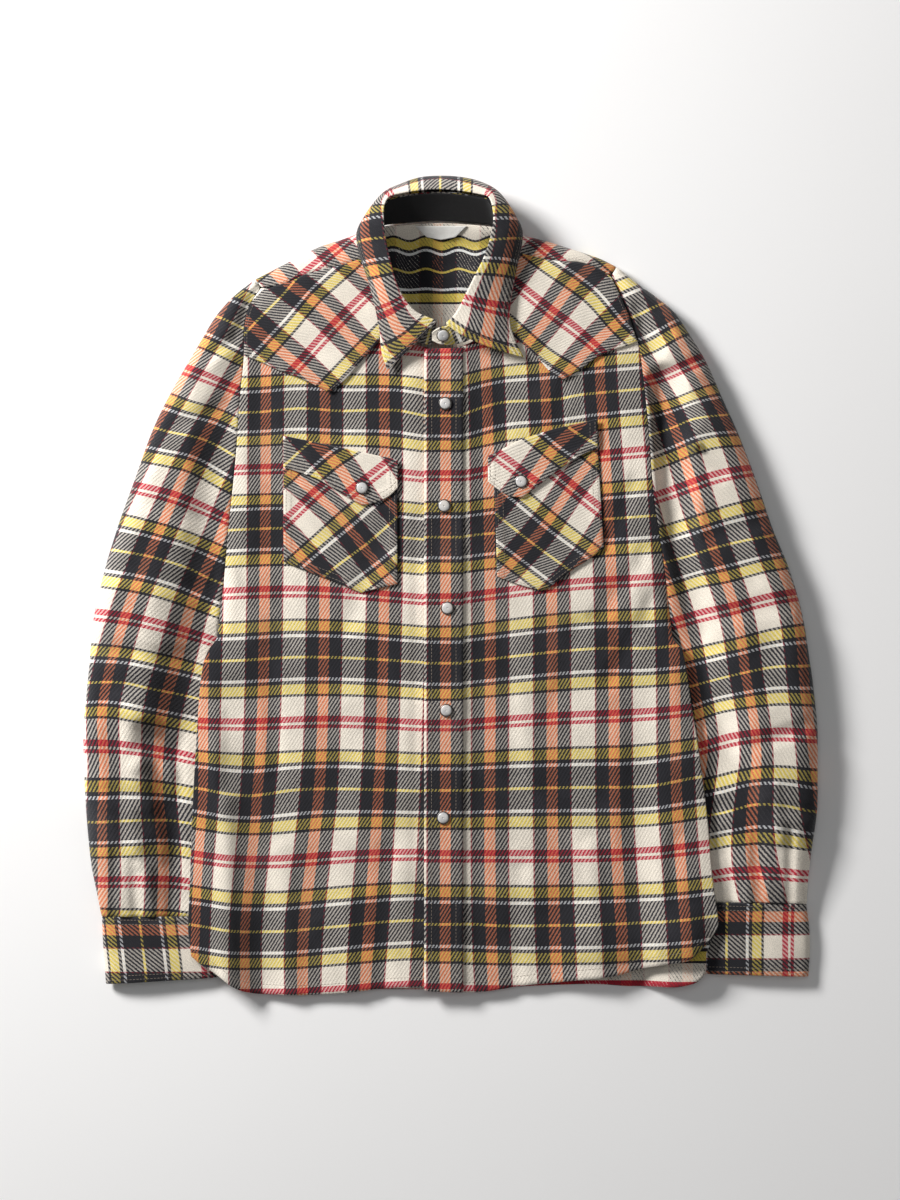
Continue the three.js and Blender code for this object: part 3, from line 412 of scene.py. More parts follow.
def sewn_relief(grid, edges, rows, lift, allowance=ALLOWANCE):
    """Height of turned edges: thick over the seam allowance, drawn in along each row of stitches."""
    away = from_edges(grid)
    place = grid[..., 0] * 0.9 + grid[..., 1] * 1.1
    total = np.zeros(grid.shape[:2])
    for edge in edges:
        d = away[edge]
        raised = lift * (1 - smooth((d - allowance + SEAM_STEP["inset"]) / SEAM_STEP["reach"]))
        drawn = sum(ROW_DRAW["depth"] * np.exp(-(((d - row) / ROW_DRAW["reach"]) ** 2)) for row in rows)
        wave = np.sin(place / PUCKER["pitch"] + PUCKER["sway"] * np.sin(place / PUCKER["sway_pitch"]))
        pucker = PUCKER["height"] * wave * np.exp(-(((d - allowance) / PUCKER["reach"]) ** 2))
        total = np.maximum(total, raised) - drawn + pucker
    return total


# Weave coordinates from marks: places where a stripe's middle is known, in repeats
def field(marks):
    """Smooth surface through marks of x, y and value."""
    xy = np.stack([marks["x"], marks["y"]], axis=1) / 100
    count = len(xy)

    def kernel(r2):
        return 0.5 * r2 * np.log(np.maximum(r2, 1e-12))

    gaps = ((xy[:, None] - xy[None]) ** 2).sum(axis=2)
    flat = np.hstack([np.ones((count, 1)), xy])
    system = np.zeros((count + 3, count + 3))
    system[:count, :count] = kernel(gaps) + 0.02 * np.eye(count)
    system[:count, count:] = flat
    system[count:, :count] = flat.T
    solved = np.linalg.solve(system, np.concatenate([marks["value"], np.zeros(3)]))

    def at(x, y):
        places = np.stack([np.ravel(x), np.ravel(y)], axis=1) / 100
        r2 = ((places[:, None] - xy[None]) ** 2).sum(axis=2)
        values = kernel(r2) @ solved[:count] + solved[count] + places @ solved[count + 1 :]
        return values.reshape(np.shape(x))

    return at


MARK = "x y value"


def weave(warp, weft):
    """Weave coordinates in millimetres of cloth over a grid, from the two fields."""
    warp_at, weft_at = field(warp), field(weft)

    def at(grid):
        x, y = grid[..., 0], grid[..., 1]
        return np.stack([warp_at(x, y) * WARP_REPEAT, weft_at(x, y) * WEFT_REPEAT], axis=-1)

    return at


# Each piece's warp and weft marks, read one by one: the rust stripe's middle in the warp and the thin yellow
# line in the weft are whole numbers, and other stripes are their shares of the repeat
MARKS = {
    "front_right": (
        table(
            MARK, [-175.8, 81.7, -3], [-119.2, 81.7, -2], [-62.2, 81.7, -1], [-175.3, 193.8, -3],
            [-63.2, 193.8, -1], [-235.1, -108.3, -4], [-235.1, -200.4, -4], [-241.8, -326.8, -4],
            [-178.1, -98.8, -3], [-180, -146.3, -3], [-184.3, -200.4, -3], [-190.5, -269.8, -3],
            [-195.6, -326.8, -3], [-121.1, -98.8, -2], [-122.4, -146.3, -2], [-125.4, -200.4, -2],
            [-133.5, -269.8, -2], [-140.1, -326.8, -2], [-65.1, -108.3, -1], [-68.9, -200.4, -1],
            [-77.4, -326.8, -1],
        ),
        table(
            MARK, [-179.1, 165.3, 1], [-143, 169.1, 1], [-105, 166.2, 1], [-48, 167.2, 1], [-29, 162.4, 1],
            [-166.7, 55.1, 2], [-105, 52.2, 2], [-38.5, 45.6, 2], [-228.5, -71.2, 3], [-195.2, -70.3, 3],
            [-152.5, -67.5, 3], [-29, -72.2, 3], [-238, -191.9, 4], [-214.2, -196.6, 4], [-190.5, -199.5, 4],
            [-152.5, -193.8, 4], [-29, -194.8, 4], [-238, -322.1, 5], [-209.5, -326.8, 5], [-190.5, -328.7, 5],
            [-48, -318.2, 5],
        ),
    ),
    "front_left": (
        table(
            MARK, [36.1, 81.7, 1], [95, 81.7, 2], [149.6, 72.2, 3], [34.7, 176.7, 1], [89.8, 190.9, 2],
            [142, 190.9, 3], [211.4, -32.3, 4], [214.2, -193.8, 4], [38.5, -326.8, 1], [98.8, -326.8, 2],
            [162.4, -326.8, 3], [222.8, -326.8, 4], [37.5, -127.3, 1], [96.4, -127.3, 2], [155.3, -127.3, 3],
        ),
        table(
            MARK, [10.9, 162.4, 1], [28, 169.1, 1], [47, 174.8, 1], [75.5, 175.8, 1], [105.9, 177.7, 1],
            [118.3, 181.4, 1], [161, 185.2, 1], [28, 49.4, 2], [42.3, 50.3, 2], [94.5, 58.9, 2],
            [172.4, 65.5, 2], [28, -70.3, 3], [142, -58.9, 3], [189.5, -58.9, 3], [218, -56, 3],
            [18.5, -193.8, 4], [142, -190.9, 4], [189.5, -190, 4], [227.5, -182.4, 4], [18.5, -321.1, 5],
            [47, -323, 5], [142, -321.1, 5], [189.5, -319.2, 5], [237, -314.4, 5],
        ),
    ),
    "front_band": (
        table(
            MARK, [-4.8, 176.7, 0], [-4.8, -13.3, 0], [-5.2, -326.8, 0], [52.7, 176.7, 1], [52.7, -326.8, 1],
        ),
        table(
            MARK, [-19.5, 161.5, 1], [9, 161.5, 1], [-19.5, 46.5, 2], [9, 46.5, 2], [-5.2, -73.1, 3],
            [-19.5, -193.8, 4], [9, -193.8, 4], [-5.2, -321.1, 5],
        ),
    ),
    "front_yoke_right": (
        table(
            MARK, [-130.6, 271.7, 0], [-108.8, 250.8, 0], [-85, 225.1, 0], [-152.5, 285.9, 0], [-167.7, 228, 1],
            [-143.9, 209, 1], [-121.1, 188.1, 1], [-190.5, 248.9, 1],
        ),
        table(
            MARK, [-130.6, 271.7, 0.2428], [-100.2, 298.3, 0.2428], [-167.7, 228, 0.2428], [-85, 225.1, 0.7572],
            [-121.1, 188.1, 0.7572], [-71.7, 238.4, 0.7572], [-108.8, 251.8, 0.47], [-144.9, 212.8, 0.47],
            [-160.1, 274.6, 0], [-176.2, 259.3, 0],
        ),
    ),
    "front_yoke_left": (
        table(
            MARK, [115.4, 286.9, 0], [97.4, 260.3, 0], [75.5, 232.8, 0], [127.8, 298.3, 0], [155.3, 246, 1],
            [136.3, 230.8, 1], [113.5, 206.1, 1],
        ),
        table(
            MARK, [115.4, 286.9, 0.2428], [87.9, 304.9, 0.2428], [135.4, 271.7, 0.2428], [155.3, 246, 0.2428],
            [75.5, 232.8, 0.7572], [94.5, 216.6, 0.7572], [113.5, 206.1, 0.7572], [58.4, 248.9, 0.7572],
            [98.3, 261.2, 0.47], [136.3, 231.8, 0.47],
        ),
    ),
    "pocket_right": (
        table(
            MARK, [-150.6, 106.4, 0], [-128.7, 88.3, 0], [-103.1, 63.6, 0], [-86, 41.8, 0], [-65.1, 14.2, 0],
            [-143, 28.5, 1], [-122.1, 46.5, 0.5], [-155.3, 43.7, 1], [-53.7, 74.1, -1],
        ),
        table(
            MARK, [-150.6, 106.4, 0.2428], [-130.6, 90.2, 0.47], [-103.1, 63.6, 0.7572], [-79.3, 39.9, 1],
            [-65.1, 14.2, 1.2428], [-143, 28.5, 0.7572], [-122.1, 46.5, 0.7572], [-109.7, 18.1, 1],
            [-60.3, 57, 1],
        ),
    ),
    "flap_right": (
        table(
            MARK, [-130.6, 138.7, 0], [-110.7, 118.8, 0], [-100.2, 105.4, 0], [-93.6, 93.1, 0],
            [-154.4, 117.8, 0.55], [-67, 114, -0.59],
        ),
        table(
            MARK, [-130.6, 138.7, 0], [-110.7, 118.8, 0.2428], [-93.6, 93.1, 0.47], [-157.2, 114.9, 0],
            [-95.5, 127.3, 0.2428], [-67, 114, 0.47],
        ),
    ),
    "pocket_left": (
        table(
            MARK, [135.4, 121.6, 0], [116.4, 96.9, 0], [94.5, 64.6, 0], [76.5, 41.8, 0], [57.5, 21.8, 0],
            [135.4, 34.2, 1], [144.9, 50.3, 1], [47, 81.7, -1],
        ),
        table(
            MARK, [135.4, 121.6, 0.2428], [116.4, 96.9, 0.47], [94.5, 64.6, 0.7572], [76.5, 41.8, 1],
            [57.5, 21.8, 1.2428], [135.4, 34.2, 0.7572], [115.4, 48.4, 0.7572], [106.9, 19.9, 1],
            [44.2, 67.5, 1],
        ),
    ),
    "flap_left": (
        table(
            MARK, [116.4, 147.2, 0], [104, 137.8, 0], [94.5, 126.3, 0], [78.4, 102.6, 0], [136.3, 135.8, 0.42],
            [47, 126.3, -0.68],
        ),
        table(
            MARK, [116.4, 147.2, 0], [94.5, 126.3, 0.2428], [78.4, 102.6, 0.47], [136.3, 135.8, 0],
            [83.1, 136.8, 0.2428], [47, 126.3, 0.47],
        ),
    ),
    "sleeve_right": (
        table(
            MARK, [-233.2, 230.8, -1], [-249.4, 204.2, -1], [-264.6, 176.7, -1], [-204.7, 191.9, 0],
            [-220.9, 163.4, 0], [-232.3, 143.4, 0], [-247.5, 114.9, 0], [-275, 53.2, 0], [-296.9, 0.9, 0],
            [-317.8, -60.8, 0], [-330.1, -117.8, 0], [-327.3, -170, 0], [-330.1, -222.3, 0],
            [-330.1, -288.8, 0], [-222.8, 36.1, 1], [-244.6, -13.3, 1], [-261.7, -77, 1], [-275, -127.3, 1],
            [-278.8, -189, 1], [-273.1, -250.8, 1], [-273.1, -288.8, 1],
        ),
        table(
            MARK, [-264.6, 145.3, 1], [-232.3, 138.7, 1], [-206.6, 124.4, 1], [-233.2, 230.8, 0.2428],
            [-200, 214.7, 0.2428], [-264.6, 176.7, 0.7572], [-247.5, 169.1, 0.7572], [-220.9, 163.4, 0.7572],
            [-247.5, 114.9, 1.2428], [-217.1, 97.8, 1.2428], [-304.5, 60.8, 1.7572], [-275, 53.2, 1.7572],
            [-222.8, 35.1, 1.7572], [-318.7, 34.2, 2], [-285.5, 28.5, 2], [-247.5, 17.1, 2], [-230.4, 7.6, 2],
            [-344.4, -92.1, 3], [-309.2, -91.2, 3], [-285.5, -96.9, 3], [-242.7, -106.4, 3],
            [-330.1, -117.8, 3.2428], [-275, -127.3, 3.2428], [-247.5, -133, 3.2428], [-326.3, -189, 3.7572],
            [-304.5, -189, 3.7572], [-344.4, -224.2, 4], [-304.5, -222.3, 4], [-252.2, -225.1, 4],
            [-333, -251.8, 4.2428], [-273.1, -249.8, 4.2428],
        ),
    ),
    "sleeve_left": (
        table(
            MARK, [213.3, 241.3, -1], [227.5, 212.8, -1], [245.6, 185.2, -1], [272.2, 133.9, -1],
            [292.1, 77, -1], [311.1, 21.8, -1], [325.4, -13.3, -1], [333, -60.8, -1], [336.8, -108.3, -1],
            [201.9, 177.7, 0], [212.3, 151, 0], [228.5, 97.8, 0], [248.4, 36.1, 0], [268.4, -19, 0],
            [278.8, -82.6, 0], [283.6, -107.3, 0], [289.3, -146.3, 0], [286.4, -207.1, 0], [286.4, -260.3, 0],
            [220.9, -41.8, 1], [227.5, -70.3, 1], [240.8, -153.9, 1], [242.7, -269.8, 0.75],
            [337.7, -269.8, -0.6],
        ),
        table(
            MARK, [213.3, 241.3, 0.2428], [194.3, 228.9, 0.2428], [245.6, 185.2, 0.7572], [218, 174.8, 0.7572],
            [194.3, 145.3, 1], [212.3, 151, 1], [227.5, 158.7, 1], [257.9, 161.5, 1], [219.9, 126.3, 1.2428],
            [251.3, 136.8, 1.2428], [279.8, 138.7, 1.2428], [239.9, 62.7, 1.7572], [291.2, 77, 1.7572],
            [208.5, 53.2, 1.7572], [227.5, 28.5, 2], [248.4, 36.1, 2], [298.8, 46.5, 2], [258.9, 8.5, 2.2428],
            [298.8, 19.9, 2.2428], [237, 5.7, 2.2428], [248.4, -60.8, 2.7572], [276.9, -54.1, 2.7572],
            [322.5, -43.7, 2.7572], [241.8, -92.1, 3], [278.8, -81.7, 3], [308.3, -76, 3], [332, -76, 3],
            [256, -114, 3.2428], [313, -105.4, 3.2428], [265.5, -184.3, 3.7572], [289.3, -177.7, 3.7572],
            [313, -176.7, 3.7572], [343.4, -180.5, 3.7572], [260.8, -215.6, 4], [286.4, -207.1, 4],
            [313, -207.1, 4], [343.4, -213.8, 4], [263.6, -241.3, 4.2428], [313, -239.4, 4.2428],
            [337.7, -244.1, 4.2428],
        ),
    ),
    "cuff_right": (
        table(
            MARK, [-292.1, -326.8, 0], [-257, -326.8, 0], [-292.1, -384.3, 1], [-257, -384.3, 1],
        ),
        table(
            MARK, [-295.9, -326.8, 1], [-289.3, -369.5, 1], [-273.1, -326.8, 1.16], [-266.5, -369.5, 1.19],
            [-265.5, -326.8, 1.2428], [-324.4, -326.8, 0.79], [-315.9, -369.5, 0.83],
        ),
    ),
    "cuff_left": (
        table(
            MARK, [275, -314, 0], [322.5, -314, 0], [275, -371.4, 1], [322.5, -371.4, 1],
        ),
        table(
            MARK, [262.7, -326.8, 1], [262.7, -364.8, 1], [290.2, -326.8, 1.2428], [290.2, -364.8, 1.2428],
            [323.5, -326.8, 1.5], [323.5, -364.8, 1.5],
        ),
    ),
}


def make_object(name, points, faces, uvs=None, slots=None, materials=()):
    mesh = bpy.data.meshes.new(name)
    faces = np.asarray(faces, np.int32)
    mesh.vertices.add(len(points))
    mesh.vertices.foreach_set("co", (np.asarray(points) * MM).astype(np.float32).ravel())
    mesh.loops.add(faces.size)
    mesh.loops.foreach_set("vertex_index", faces.ravel())
    mesh.polygons.add(len(faces))
    mesh.polygons.foreach_set("loop_start", np.arange(0, faces.size, faces.shape[1], dtype=np.int32))
    if slots is not None:
        mesh.polygons.foreach_set("material_index", np.asarray(slots, np.int32))
    mesh.update(calc_edges=True)
    if uvs is not None:
        layer = mesh.uv_layers.new(name="cloth")
        layer.data.foreach_set("uv", uvs[faces.ravel()].astype(np.float32).ravel())
    mesh.validate()
    mesh.shade_smooth()
    for material in materials:
        mesh.materials.append(material)
    made = bpy.data.objects.new(name, mesh)
    bpy.context.scene.collection.objects.link(made)
    return made


RIM = 0.35


def cloth_piece(name, grid, turn, uv, materials, wall=CLOTH, inside=None):
    """Closed shell under a grid of outer points, with rounded edges. The inside may have its own weave."""
    rows, columns = grid.shape[:2]
    count = rows * columns
    inner = moved_out(grid, turn, -wall)
    inner_uv = uv if inside is None else inside
    index = np.arange(count).reshape(rows, columns)
    a, b, c, d = index[:-1, :-1], index[1:, :-1], index[1:, 1:], index[:-1, 1:]
    outer_faces = np.stack([a, b, c, d], axis=-1).reshape(-1, 4)
    inner_faces = np.stack([a, d, c, b], axis=-1).reshape(-1, 4) + count
    loop = np.concatenate([index[:, 0], index[-1, 1:], index[-2::-1, -1], index[0, -2:0:-1]])
    inward = np.concatenate([index[:, 1], index[-2, 1:], index[-2::-1, -2], index[1, -2:0:-1]])
    flat_outer, flat_inner = grid.reshape(-1, 3), inner.reshape(-1, 3)
    away = flat_outer[loop] - flat_outer[inward]
    away /= np.maximum(np.linalg.norm(away, axis=1, keepdims=True), 1e-9)
    rim = (flat_outer[loop] + flat_inner[loop]) / 2 + away * wall * RIM
    rim_index = np.arange(len(loop)) + 2 * count
    following, rim_following = np.roll(loop, -1), np.roll(rim_index, -1)
    upper = np.stack([loop, rim_index, rim_following, following], axis=-1)
    lower = np.stack([rim_index, loop + count, following + count, rim_following], axis=-1)
    faces = np.concatenate([outer_faces, inner_faces, upper, lower])
    if turn < 0:
        faces = faces[:, ::-1]
    points = np.concatenate([flat_outer, flat_inner, rim])
    uvs = np.concatenate([uv.reshape(-1, 2), inner_uv.reshape(-1, 2), uv.reshape(-1, 2)[loop]])
    slots = np.zeros(len(faces), int)
    if len(materials) > 1:
        slots[len(outer_faces) : len(outer_faces) + len(inner_faces)] = 1
    made = make_object(f"{name}_cloth", points, faces, uvs, slots, materials)
    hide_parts(name)
    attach(made, "root")


# Stitches: rows of short threads over the cloth, at a distance in from an edge
stitch_points, stitch_faces = [], []
TWO_ROWS = (2.0, 7.0)
EDGE_ROWS = (2.5, 6.5)
STITCH_PITCH = 3.3
STITCH_LENGTH = 2.5
STITCH_TRIM = 1.5
STITCH_RADIUS = 0.27
STITCH_FLATNESS = 0.8
STITCH_LIFT = 0.15
STITCH_SINK = 0.5
STITCH_RINGS = [(-0.5, 0.25), (-0.32, 0.9), (0.32, 0.9), (0.5, 0.25)]
STITCH_SIDES = 5


def facing(grid, edge):
    """The grid turned so that its first row lies on the edge."""
    turned = grid.swapaxes(0, 1) if edge in ("start", "end") else grid
    return turned[::-1] if edge in ("last", "end") else turned


def inset_line(grid, edge, distance, normals):
    """Line over the cloth at a distance in from one edge, with the normals along it."""
    lines, faced = facing(grid, edge), facing(normals, edge)
    points, ups = [], []
    for j in range(lines.shape[1]):
        line = lines[:, j]
        s = along(line)
        i = min(max(int(np.searchsorted(s, distance)) - 1, 0), len(s) - 2)
        t = (distance - s[i]) / max(s[i + 1] - s[i], 1e-9)
        points.append(lerp(line[i], line[i + 1], t))
        ups.append(faced[i, j])
    return np.array(points), np.array(ups)


def stitch_line(line, ups):
    s = along(line)
    start, end = STITCH_TRIM, s[-1] - STITCH_TRIM
    count = int((end - start) // STITCH_PITCH)
    if count < 1:
        return
    middles = start + (np.arange(count) + 0.5) * (end - start) / count
    for middle in middles:
        ends = [np.array([np.interp(middle + h, s, line[:, k]) for k in range(3)]) for h in (-0.8, 0.8)]
        at = (ends[0] + ends[1]) / 2
        run = ends[1] - ends[0]
        run /= max(np.linalg.norm(run), 1e-9)
        up = np.array([np.interp(middle, s, ups[:, k]) for k in range(3)])
        up -= run * up.dot(run)
        up /= max(np.linalg.norm(up), 1e-9)
        side = np.cross(run, up)
        first = len(stitch_points)
        for share, swell in STITCH_RINGS:
            centre = at + run * share * STITCH_LENGTH + up * (STITCH_LIFT - STITCH_SINK * abs(share))
            for k in range(STITCH_SIDES):
                turn = k / STITCH_SIDES * math.tau
                around = side * math.cos(turn) + up * math.sin(turn) * STITCH_FLATNESS
                stitch_points.append(centre + around * STITCH_RADIUS * swell)
        for ring in range(len(STITCH_RINGS) - 1):
            for k in range(STITCH_SIDES):
                low, high = first + ring * STITCH_SIDES, first + (ring + 1) * STITCH_SIDES
                nxt = (k + 1) % STITCH_SIDES
                stitch_faces.append((low + k, high + k, high + nxt, low + nxt))


def sew(grid, turn, edges, distances):
    normals = normals_of(grid, turn)
    for edge in edges:
        for distance in distances:
            stitch_line(*inset_line(grid, edge, distance, normals))


# Materials
class Nodes:
    """Short calls for a material's nodes."""

    def __init__(self, name):
        self.material = bpy.data.materials.new(name)
        self.material.use_nodes = True
        self.tree = self.material.node_tree
        self.shader = self.tree.nodes["Principled BSDF"]

    def new(self, kind, **settings):
        node = self.tree.nodes.new("ShaderNode" + kind)
        for key, value in settings.items():
            setattr(node, key, value)
        return node

    def put(self, socket, value):
        if isinstance(value, bpy.types.NodeSocket):
            self.tree.links.new(value, socket)
        elif value is not None:
            socket.default_value = value

    def math(self, operation, a, b=None, c=None):
        node = self.new("Math", operation=operation)
        for socket, value in zip(node.inputs, (a, b, c)):
            self.put(socket, value)
        return node.outputs[0]

    def mix(self, factor, a, b, blend="MIX"):
        node = self.new("Mix", data_type="RGBA", blend_type=blend)
        self.put(node.inputs[0], factor)
        self.put(node.inputs[6], a)
        self.put(node.inputs[7], b)
        return node.outputs[2]

    def noise(self, vector, scale, detail=3.0, roughness=0.5):
        node = self.new("TexNoise")
        self.put(node.inputs["Vector"], vector)
        node.inputs["Scale"].default_value = scale
        node.inputs["Detail"].default_value = detail
        node.inputs["Roughness"].default_value = roughness
        return node.outputs["Fac"]

    def span(self, value, low, high, to_low=0.0, to_high=1.0):
        node = self.new("MapRange")
        for socket, number in zip(node.inputs, (value, low, high, to_low, to_high)):
            self.put(socket, number)
        return node.outputs[0]

    def uv(self):
        """Weave coordinates, and the same two as numbers."""
        both = self.new("UVMap", uv_map="cloth").outputs[0]
        parts = self.new("SeparateXYZ")
        self.put(parts.inputs[0], both)
        return both, parts.outputs[0], parts.outputs[1]

    def thread(self, across, pitch):
        return self.math("SINE", self.math("MULTIPLY", across, math.tau / pitch))

    def grey(self, value):
        node = self.new("CombineColor")
        for socket in node.inputs[:3]:
            self.put(socket, value)
        return node.outputs[0]

    def place(self):
        return self.new("TexCoord").outputs["Object"]

    def bump(self, height, distance, strength=1.0):
        node = self.new("Bump")
        node.inputs["Strength"].default_value = strength
        node.inputs["Distance"].default_value = distance
        self.put(node.inputs["Height"], height)
        self.put(self.shader.inputs["Normal"], node.outputs[0])

    def finish(self, colour, roughness, sheen=0.0, metallic=0.0):
        self.put(self.shader.inputs["Base Color"], colour)
        self.put(self.shader.inputs["Roughness"], roughness)
        self.shader.inputs["Metallic"].default_value = metallic
        self.shader.inputs["Sheen Weight"].default_value = sheen
        self.shader.inputs["Sheen Roughness"].default_value = 0.5
        return self.material


def display(r, g, b):
    """A colour as seen on a screen, 0 to 255."""
    return (r / 255, g / 255, b / 255, 1.0)


CREAM = display(237, 228, 213)
BLACK = display(21, 21, 29)
RUST = display(214, 118, 78)
YELLOW = display(224, 200, 88)
WHITE = display(236, 238, 238)
RED = display(178, 24, 46)
LINE_RED = display(120, 20, 36)

# Stripes of one repeat, from where they start, in shares of it
WARP_STRIPES = [
    (0.0, RUST), (0.087, BLACK), (0.288, LINE_RED), (0.312, CREAM), (0.688, LINE_RED), (0.712, BLACK),
    (0.913, RUST),
]
WEFT_STRIPES = [
    (0.0, YELLOW), (0.010, BLACK), (0.1545, WHITE), (0.1786, BLACK), (0.2067, YELLOW), (0.2789, BLACK),
    (0.2990, CREAM), (0.4474, RED), (0.4932, CREAM), (0.5132, RED), (0.5405, CREAM), (0.7010, BLACK),
    (0.7211, YELLOW), (0.7933, BLACK), (0.8214, WHITE), (0.8455, BLACK), (0.990, YELLOW),
]


def stripes(n, value, stops):
    node = n.new("ValToRGB")
    ramp = node.color_ramp
    ramp.interpolation = "CONSTANT"
    while len(ramp.elements) < len(stops):
        ramp.elements.new(0.5)
    for element, (start, colour) in zip(ramp.elements, stops):
        element.position = start
        element.color = colour
    n.put(node.inputs[0], value)
    return node.outputs[0]


DISPLAY_GAMMA = 2.2
TWILL_YARNS = 4
WOBBLE = 0.7
LOOSE_YARNS = 0.62
TWILL_SOFTNESS = 0.05


def plaid(name, weft_share=0.5, lean=0.65, cover=0.93, dark=0.27, yarn=YARN):
    """Brushed twill: warp and weft stripes crossing, the weft on top for a share of the yarns."""
    n = Nodes(name)
    uv, u, v = n.uv()
    fuzz = n.math("SUBTRACT", n.noise(uv, 0.95, 2.0, 0.6), 0.5)
    wobble_u = n.math("MULTIPLY_ADD", fuzz, WOBBLE, u)
    wobble_v = n.math("MULTIPLY_ADD", n.math("SUBTRACT", n.noise(uv, 0.9, 2.0), 0.5), WOBBLE, v)
    warp = stripes(n, n.math("FRACT", n.math("DIVIDE", wobble_u, WARP_REPEAT)), WARP_STRIPES)
    weft = stripes(n, n.math("FRACT", n.math("DIVIDE", wobble_v, WEFT_REPEAT)), WEFT_STRIPES)
    diagonal = n.math("MULTIPLY_ADD", v, lean, u)
    turn = n.math("FRACT", n.math("DIVIDE", n.math("MULTIPLY_ADD", fuzz, 1.1, diagonal), yarn * TWILL_YARNS))
    ridge = n.math("ABSOLUTE", n.math("SUBTRACT", turn, 0.5))
    edge = (1 - weft_share) * 0.5
    loose = n.math("SUBTRACT", n.noise(uv, 0.62, 3.0, 0.75), 0.5)
    ridge = n.math("MULTIPLY_ADD", loose, LOOSE_YARNS, ridge)
    on_top = n.span(ridge, edge - TWILL_SOFTNESS, edge + TWILL_SOFTNESS)
    cloth = n.mix(n.span(on_top, 0.0, 1.0, 1 - cover, cover), warp, weft)
    cloth = n.mix(dark, cloth, n.mix(1.0, warp, weft, "DARKEN"))
    flecks = n.span(n.noise(uv, 1.1, 3.0, 0.75), 0.3, 0.7, 0.84, 1.1)
    tone = n.span(n.noise(uv, 0.035, 2.0), 0.3, 0.7, 0.955, 1.03)
    shaded = n.mix(1.0, cloth, n.grey(n.math("MULTIPLY", flecks, tone)), "MULTIPLY")
    worn = n.span(n.noise(n.place(), 26.0, 4.0), 0.5, 0.72, 0.0, 0.1)
    shaded = n.mix(worn, shaded, display(205, 194, 178))
    linear = n.new("Gamma")
    n.put(linear.inputs[0], shaded)
    linear.inputs[1].default_value = DISPLAY_GAMMA
    warp_yarn, weft_yarn = n.thread(u, yarn), n.thread(v, yarn)
    yarns = n.math("MULTIPLY_ADD", n.math("SUBTRACT", weft_yarn, warp_yarn), on_top, warp_yarn)
    nap = n.noise(uv, 3.4, 4.0, 0.75)
    height = n.math("MULTIPLY_ADD", yarns, 0.25, n.math("MULTIPLY_ADD", nap, 1.5, on_top))
    n.bump(height, 0.00022, 0.8)
    rough = n.span(nap, 0.2, 0.8, 0.86, 0.98)
    return n.finish(linear.outputs[0], rough, sheen=0.2)


flannel = plaid("brushed_flannel")
flannel_back = plaid("flannel_reverse", 0.93, -0.65, cover=0.96, dark=0.04)
flannel_cuff = plaid("cuff_flannel", 0.5, -0.9, yarn=1.1)
flannel_sleeve = plaid("sleeve_flannel", yarn=1.02)
flannel_steep = plaid("pocket_flannel", 0.5, 0.3)


RIB_PITCH = 1.15


def ribbed_material():
    n = Nodes("black_ribbed_cloth")
    uv, u, v = n.uv()
    rib = n.span(n.thread(v, RIB_PITCH), -1.0, 1.0)
    height = n.math("MULTIPLY_ADD", n.thread(u, 0.55), 0.15, rib)
    n.bump(n.math("MULTIPLY_ADD", n.noise(uv, 3.0, 3.0), 0.6, height), 0.0003, 0.9)
    dust = n.span(n.noise(uv, 0.4, 4.0, 0.7), 0.35, 0.75, 0.0, 0.15)
    # Painted shade: the colour is darker in the ribs' grooves, where the bump is low, and lighter on their
    # tops.
    base = n.mix(rib, (0.002, 0.002, 0.0025, 1), (0.010, 0.0095, 0.011, 1))
    return n.finish(n.mix(dust, base, (0.030, 0.029, 0.031, 1)), 0.9, sheen=0.03)


def label_material():
    n = Nodes("woven_label")
    uv, u, v = n.uv()
    weave_height = n.math("MULTIPLY", n.thread(u, 0.5), n.thread(v, 0.42))
    n.bump(weave_height, 0.00012, 0.8)
    soil = n.span(n.noise(uv, 0.12, 4.0), 0.35, 0.75, 0.0, 1.0)
    base = n.mix(soil, (0.92, 0.91, 0.87, 1), (0.82, 0.81, 0.76, 1))
    # Painted shade: the colour is darkened by up to a tenth where the weave's bump is low, in its hollows.
    painted_weave_shade = n.span(weave_height, -1.0, 1.0, 0.9, 1.0)
    return n.finish(n.mix(1.0, base, n.grey(painted_weave_shade), "MULTIPLY"), 0.55, sheen=0.1)


def pearl_material():
    n = Nodes("pearl_cap")
    place = n.place()
    swirl = n.noise(place, 210.0, 3.0, 0.6)
    base = n.mix(n.span(swirl, 0.35, 0.65), (0.60, 0.59, 0.57, 1), (0.44, 0.445, 0.45, 1))
    warm = n.span(n.noise(place, 90.0, 2.0), 0.4, 0.7, 0.0, 0.5)
    n.bump(swirl, 0.00008, 0.5)
    n.shader.inputs["Coat Weight"].default_value = 0.7
    n.shader.inputs["Coat Roughness"].default_value = 0.12
    return n.finish(n.mix(warm, base, (0.62, 0.56, 0.50, 1)), n.span(swirl, 0.3, 0.7, 0.22, 0.38))


def steel_material():
    n = Nodes("snap_steel")
    place = n.place()
    grain = n.noise(place, 700.0, 3.0)
    base = n.mix(n.span(n.noise(place, 130.0), 0.35, 0.7), (0.20, 0.195, 0.19, 1), (0.11, 0.105, 0.10, 1))
    n.bump(grain, 0.00005, 0.5)
    return n.finish(base, n.span(grain, 0.3, 0.7, 0.24, 0.42), metallic=1.0)


def thread_material():
    n = Nodes("beige_thread")
    place = n.place()
    ply = n.noise(place, 1900.0, 2.0)
    base = n.mix(n.span(n.noise(place, 60.0, 3.0), 0.35, 0.7), (0.26, 0.21, 0.165, 1), (0.17, 0.135, 0.105, 1))
    n.bump(ply, 0.00008, 0.8)
    return n.finish(base, 0.7, sheen=0.2)


ribbed = ribbed_material()
label_cloth = label_material()
pearl = pearl_material()
steel = steel_material()
thread = thread_material()

